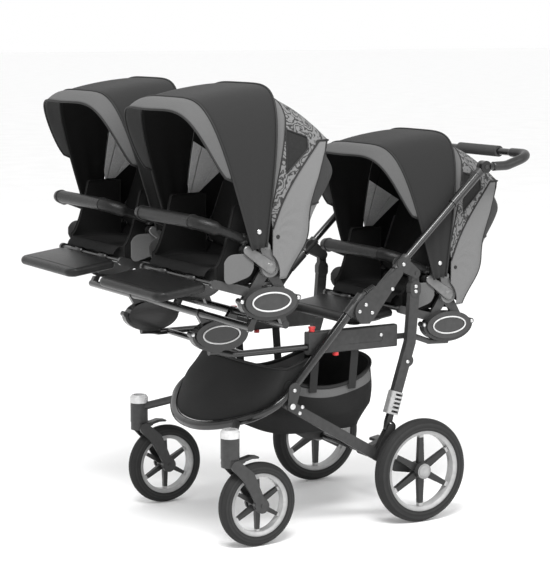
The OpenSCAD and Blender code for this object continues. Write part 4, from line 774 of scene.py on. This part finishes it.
def makeRings(name, body, centre):
    v = ringValues
    shell = Shape()
    for s in (-1, 1):
        turn = np.linspace(0, 2 * math.pi, 65)[:-1]
        line = np.stack([s * v["faceX"] + 0 * turn, v["halfWidth"] * np.cos(turn),
                         v["halfHeight"] * np.sin(turn)], -1)
        shell.tube(line + centre, v["thick"], 0, 10, True)
    shell.piece(name, body, ["pale"])


def makeArms(side, origin):
    v = armValues
    hub, post = np.array(v["hub"]), np.array(v["post"])
    head = math.atan2(post[1] - hub[1], post[0] - hub[0])
    shell = Shape()
    for s in (-1, 1):
        rings = []
        for x, inset in ((v["inner"], 0.001), (v["inner"] + 0.0008, 0), (v["outer"] - 0.0014, 0),
                         (v["outer"], 0.0022)):
            ring = [(s * x, *(hub + (v["hubRadius"] - inset) * np.array([math.cos(t), math.sin(t)])))
                    for t in np.linspace(head + math.pi / 2, head + 1.5 * math.pi, 13)]
            ring += [(s * x, *(post + (v["postRadius"] - inset) * np.array([math.cos(t), math.sin(t)])))
                     for t in np.linspace(head - math.pi / 2, head + math.pi / 2, 13)]
            rings.append(ring)
        rings = np.array(rings) + origin
        if s < 0:
            rings = rings[:, ::-1]
        shell.grid(rings, 0, True)
        shell.add(rings[0], [tuple(range(len(rings[0]) - 1, -1, -1))])
        shell.add(rings[-1], [tuple(range(len(rings[0])))])
        cap = v["cap"]
        shell.lathe(origin + [s * (v["outer"] - 0.0005), *hub], (s, 0, 0),
                    [(cap * 0.7, 0), (cap * 0.68, 0.001), (cap * 0.3, 0.0022), (cap * 0.1, 0.0024)], 0, 28)
    shell.piece("barArms_" + side, "seat_" + side, ["gloss"])


for side in ("left", "right", "rear"):
    origin = spots["recline_" + side] - np.array([0, *armValues["hub"]])
    makeRings("ovalRings_" + side, "seat_" + side, origin)
    makeArms(side, origin)
    makeFlaps(side, origin)
    makeHood(side, origin)
    makeCover(side, origin)
    tub = makeTub(side, origin)
    makeApron(side, origin)
    makeBackPad(side, origin)
    makeBight(side, origin)
    makeFootrest(side, origin)
    makeBar(side, origin)
    print("stage: seat", side)

makeRings("ovalRings_adapter", "adapter", np.array([0, shift - 0.589, 0.564]))

springValues = {"x": 0.243, "low": (-0.07218, 0.31769), "high": (-0.06044, 0.35539),
                "radius": 0.0064, "wire": 0.0012, "turns": 6}


def makeSprings():
    v = springValues
    low, high = (np.array([0, p[0] + shift, p[1]]) for p in (v["low"], v["high"]))
    axis = (high - low) / np.linalg.norm(high - low)
    across = np.cross(axis, [1.0, 0, 0])
    f = np.linspace(0, 1, v["turns"] * 16 + 1)
    turn = 2 * math.pi * v["turns"] * f
    circle = np.cos(turn)[:, None] * [1.0, 0, 0] + np.sin(turn)[:, None] * across
    line = low + f[:, None] * (high - low) + v["radius"] * circle
    shell = Shape()
    for s in (-1, 1):
        shell.tube(line + [s * v["x"], 0, 0], v["wire"], 0, 8)
    shell.piece("shockCoils", ("legs", "plungers", tuple(high), tuple(low)), ["steel"],
                ["shock_springs"])


makeSprings()
print("stage: springs")

basketValues = {"halfWidth": 0.203, "halfLength": 0.189, "floor": 0.262, "rim": 0.388, "rise": 0.060, "cloth": 0.003,
                "hem": 0.005, "strapWidth": 0.024, "straps": (-0.054, 0.071), "strapLow": 0.378, "strapThick": 0.002,
                "railX": 0.217, "railZ": 0.488, "net": (0.74, 0.92), "netX": 0.17, "flatWidth": 0.62}


def makeBasket():
    v = basketValues
    low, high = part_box("basket")
    middle = (low.y + high.y) / 2
    turn = np.linspace(0, 2 * math.pi, 121)[:-1]
    d = (np.abs(np.cos(turn)) ** 4 + np.abs(np.sin(turn)) ** 4) ** 0.25
    ux, uy = np.cos(turn) / d, np.sin(turn) / d
    rimZ = v["rim"] + v["rise"] * uy ** 2
    rows = []
    for k in np.linspace(0.02, 0.84, 9):  # floor, a little baggy
        rows.append(np.stack([ux * v["halfWidth"] * k, middle + uy * v["halfLength"] * 0.94 * k,
                              v["floor"] + 0.004 * np.cos(9 * k + 3 * ux) * (1 - k) + 0 * ux], -1))
    for f in np.linspace(0, 1, 23):
        k = lerp(0.87, 0.985, min(1, f * 3)) + 0.014 * math.sin(math.pi * f) + 0.001
        long = lerp(0.94, 1.0, f)
        pull = 0.005 * np.sin(7 * turn + 3 * f) * math.sin(math.pi * f)
        wide, far = (v["halfWidth"] * min(k, 1.0) + pull - 0.005, v["halfLength"] * long * min(k, 1.0) + pull - 0.005)
        rows.append(np.stack([ux * wide, middle + uy * far, lerp(v["floor"] + 0.005 + 0 * ux, rimZ, f)], -1))
    rows = np.array(rows)

    def netted(p, r, k):
        return int(r > 9 and v["net"][0] < (r - 9) / 22 < v["net"][1] and abs(p[0]) > v["netX"])

    shell = Shape()
    shell.grid(rows, around=True, marker=netted)
    shell.add(rows[0], [tuple(range(len(turn)))])
    bag = shell.piece("basketBag", "chassis", ["basket", "netting"] * 2, ["basket"],
                      (0, middle, v["floor"] + 0.08), v["cloth"])
    declareSheet(bag, v["flatWidth"], 1.2)
    trim = Shape()
    trim.tube(rows[-1], v["hem"], 0, 8, True)
    half = v["strapWidth"] / 2
    for at in (middle + strap for strap in v["straps"]):
        for s in (-1, 1):
            strip = []
            for f in np.linspace(0, 1, 9):
                x = s * lerp(v["halfWidth"] - 0.004, v["railX"] - 0.003, f)
                z = lerp(v["strapLow"], v["railZ"] - 0.0006, f)
                strip.append([(x, at - half, z), (x, at + half, z)])
            for o in (0.0, v["strapThick"]):
                face = np.array(strip) + [s * o, 0, 0]
                trim.grid(face if (s > 0) == (o > 0) else face[:, ::-1])
    trim.piece("basketHem", "chassis", ["piping"])


panelValues = {"reach": 0.578, "frontZ": 0.289, "topReach": 0.173, "topZ": 0.638, "highLength": 0.352,
               "highSlope": 47.0, "tubeX": 0.243, "noseShare": 0.41, "sideShare": 0.59, "bendShare": 0.58,
               "room": 0.0130, "sideRoom": 0.0033, "hemFront": (-0.038, 0.078), "hemSide": (0.020, 0.074),
               "hemEnd": 0.130, "hemInset": 0.010, "sideReach": 0.086, "frontShare": 0.6, "swell": 0.016,
               "middleY": -0.246, "crease": 0.0022, "cloth": 0.003, "hem": 0.004, "flatWidth": 0.80}


def makePanel():
    v = panelValues
    highS = math.radians(v["highSlope"])
    steep = np.array([math.cos(highS), math.sin(highS)])
    knee = np.array([-v["topReach"], v["topZ"]]) - v["highLength"] * steep
    run = knee - [-v["reach"], v["frontZ"]]
    lowLength, lowS = np.linalg.norm(run), math.atan2(run[1], run[0])
    noseX, sideD, sideR = v["tubeX"] * v["noseShare"], lowLength * v["sideShare"], lowLength * v["bendShare"]
    noseTurn = math.atan2(sideD, v["tubeX"] - noseX)
    noseR = 0.96 * noseX / math.tan(noseTurn / 2)
    sideStart = sideD + sideR * math.tan(math.pi / 4 - noseTurn / 2)
    sideRun = lowLength - sideStart
    hemFront, hemSide, hemEnd = knee + v["hemFront"], knee + v["hemSide"], knee + v["hemEnd"] * steep

    def onPlane(x, d):
        return np.array([x, -v["reach"] + d * math.cos(lowS), v["frontZ"] + d * math.sin(lowS)])

    def onFront(b):
        if b < noseTurn:
            return onPlane(0.04 * noseX + noseR * math.sin(b), noseR * (1 - math.cos(b)))
        return onPlane(v["tubeX"] - sideR * (1 - math.sin(b)), sideStart - sideR * math.cos(b))

    def onSide(d):
        if d < sideRun:
            return onPlane(v["tubeX"], sideStart + d)
        return np.array([v["tubeX"], *(knee + (d - sideRun) * steep)])

    def share(f):
        return math.pi / 2 * min(1, f / v["frontShare"]), max(0, (f - v["frontShare"]) / (1 - v["frontShare"]))

    def low(f):
        b, past = share(f)
        up = 0.7 * math.cos(b)
        into = math.sqrt(1 - up * up)
        centre = onFront(b) if f <= v["frontShare"] else onSide((sideRun + v["sideReach"]) * past)
        inward = np.array([-math.sin(b), math.cos(b) * math.cos(lowS), math.cos(b) * math.sin(lowS)])
        normal = np.array([0, -math.sin(lowS), math.cos(lowS)])
        return centre + (v["room"] + v["sideRoom"] * math.sin(b)) * into * inward + v["room"] * up * normal

    def high(f):
        a, past = share(f)
        spot = lerp(lerp(hemFront, hemSide, 1 - math.cos(a)), hemEnd, past)
        return np.array([(v["tubeX"] - v["room"] - v["hemInset"]) * math.sin(a), *spot])

    rows = []
    for g in np.linspace(0, 1, 25):
        row = []
        for q in np.linspace(1, -1, 97):
            f = abs(q)
            p = lerp(low(f), high(f), g)
            n = np.array([p[0], p[1] - v["middleY"], 0])
            n /= np.linalg.norm(n)
            out = v["swell"] * math.sin(math.pi * g) * max(0, math.cos(math.radians(130 * f)))
            out += v["crease"] * math.sin(19 * f + 5 * g) * math.sin(math.pi * g) * min(1, max(0, (0.9 - f) * 4))
            p = p + n * (out - 0.0005)
            row.append((p[0] if q > 0 else -p[0], p[1] + shift, p[2]))
        rows.append(row)
    rows = np.array(rows)
    sheet = clothPiece(rows, "frontCloth", "chassis", ["panel", "lining"],
                       ["front_panel"], (0, 0.0, 0.40), v["cloth"])
    declareSheet(sheet, v["flatWidth"], 1.2)
    trim = Shape()
    trim.tube(rows[-1], v["hem"], 0, 8)
    trim.piece("frontHem", "chassis", ["piping"])


makeBasket()
makePanel()
print("stage: basket and front panel")

handleValues = {"halfWidth": 0.2495, "length": 0.162, "rise": 0.029, "bend": 0.048, "lowBend": 0.060,
                "sleeve": 0.0128, "sleeveStart": 0.150, "kneeShare": 0.45, "end": 0.026}


def makeHandle():
    v = handleValues
    k = spots["handle_tilt"]
    far, top, wide = k[1] + v["length"], k[2] + v["rise"], v["halfWidth"]
    knee, end = k[1] + v["length"] * v["kneeShare"], k[1] + v["end"]
    corner = [(v["sleeveStart"], far, top), (wide, far, top), (wide, knee, k[2] + 0.001), (wide, end, k[2] + 0.0005)]
    line = dense(rounded(corner, [0, v["bend"], v["lowBend"], 0], 12), 0.006)
    run = np.linspace(0, 1, len(line))
    radius = v["sleeve"] - 0.0016 * smooth((0.02 - run) / 0.02) + 0.0008 * np.sin(math.pi * run)
    shell = Shape()
    for s in (1, -1):
        shell.tube(line * [s, 1, 1], radius, 0, 18)
    shell.piece("handleSleeves", "handle", ["plastic"])


makeHandle()

rivetValues = {"radius": 0.0055, "height": 0.003}
rivetPlaces = {
    "push_frame": [(0.2655, -0.087, 0.655), (0.2655, -0.192, 0.601), (0.2655, -0.152, 0.595), (0.2655, -0.172, 0.618),
                   (0.2558, -0.0444, 0.7185)],
    "legs": [(0.2535, -0.002, 0.655), (0.2535, -0.002, 0.641), (0.2515, -0.026, 0.447)],
    "chassis": [(0.229, -0.099, 0.525), (0.2583, -0.391, 0.403), (0.212, 0.0562, 0.537), (0.212, 0.2178, 0.537)],
    "carriage": [(0.212, -0.6698, 0.569), (0.212, -0.5082, 0.569)],
    "adapter": [(0.474, -0.6698, 0.689), (0.474, -0.5082, 0.689)],
    "swing_arm": [(0.251, -0.363, 0.354), (0.251, -0.371, 0.338)],
}


def makeRivets():
    r, h = rivetValues["radius"], rivetValues["height"]
    profile = [(r, -0.001), (r, h * 0.3), (r * 0.8, h * 0.75), (r * 0.35, h)]
    for body, places in rivetPlaces.items():
        shell = Shape()
        for x, y, z in places:
            for s in (1, -1):
                shell.lathe((s * x, y + shift, z), (s, 0, 0), profile, 0, 16)
        shell.piece("rivets_" + body, body, ["steel"])


makeRivets()
print("stage: handle and rivets")

stageValues = {"floor": 0.95, "floorHalf": 80, "world": 1.0, "aim": (0, 0, 0.7),
               "key": 240.0, "keyPlace": (2.1, -1.6, 4.0),
               "fill": 50.0, "fillPlace": (4.0, 1.5, 2.4), "lens": 119.6, "sensor": 36.0,
               "camera": (4.4982, -2.6649, 1.3694), "azimuth": 59.94, "elevation": 7.86}
tiles = np.linspace(-stageValues["floorHalf"], stageValues["floorHalf"], 17)
floorShape = Shape()
floorShape.grid(np.array([[(x, y, 0.0) for x in tiles] for y in tiles]))
floorMesh = bpy.data.meshes.new("floor")
floorMesh.from_pydata(floorShape.points, [], floorShape.faces)
floor = bpy.data.objects.new("floor", floorMesh)
scene.collection.objects.link(floor)
floorMesh.materials.append(surface("paleFloor", stageValues["floor"], stageValues["floor"] + 0.04, 0.8, 3, gloss=0.1))

world = bpy.data.worlds.new("softRoom")
scene.world = world
world.use_nodes = True
world.node_tree.nodes["Background"].inputs["Color"].default_value = (1, 1, 1, 1)
world.node_tree.nodes["Background"].inputs["Strength"].default_value = stageValues["world"]


def softLight(name, place, aim, power, width, height):
    data = bpy.data.lights.new(name, "AREA")
    data.shape = "RECTANGLE"
    data.energy, data.size, data.size_y = power, width, height
    lamp = bpy.data.objects.new(name, data)
    scene.collection.objects.link(lamp)
    lamp.location = place
    lamp.rotation_euler = (Vector(aim) - Vector(place)).to_track_quat("-Z", "Y").to_euler()


softLight("key", stageValues["keyPlace"], stageValues["aim"], stageValues["key"], 2.6, 1.0)
softLight("fill", stageValues["fillPlace"], stageValues["aim"], stageValues["fill"], 2.5, 2.5)

camData = bpy.data.cameras.new("camera")
camera = bpy.data.objects.new("camera", camData)
scene.collection.objects.link(camera)
scene.camera = camera
camData.lens, camData.sensor_width = stageValues["lens"], stageValues["sensor"]
az, el = math.radians(stageValues["azimuth"]), math.radians(stageValues["elevation"])
back = Vector((math.sin(az) * math.cos(el), -math.cos(az) * math.cos(el), math.sin(el)))
camera.location = stageValues["camera"]
camera.rotation_euler = (-back).to_track_quat("-Z", "Y").to_euler()
camData.clip_start, camData.clip_end = 0.05, 250.0
scene.view_settings.view_transform = "Standard"
bpy.context.view_layer.update()
print("stage: floor, light and camera")
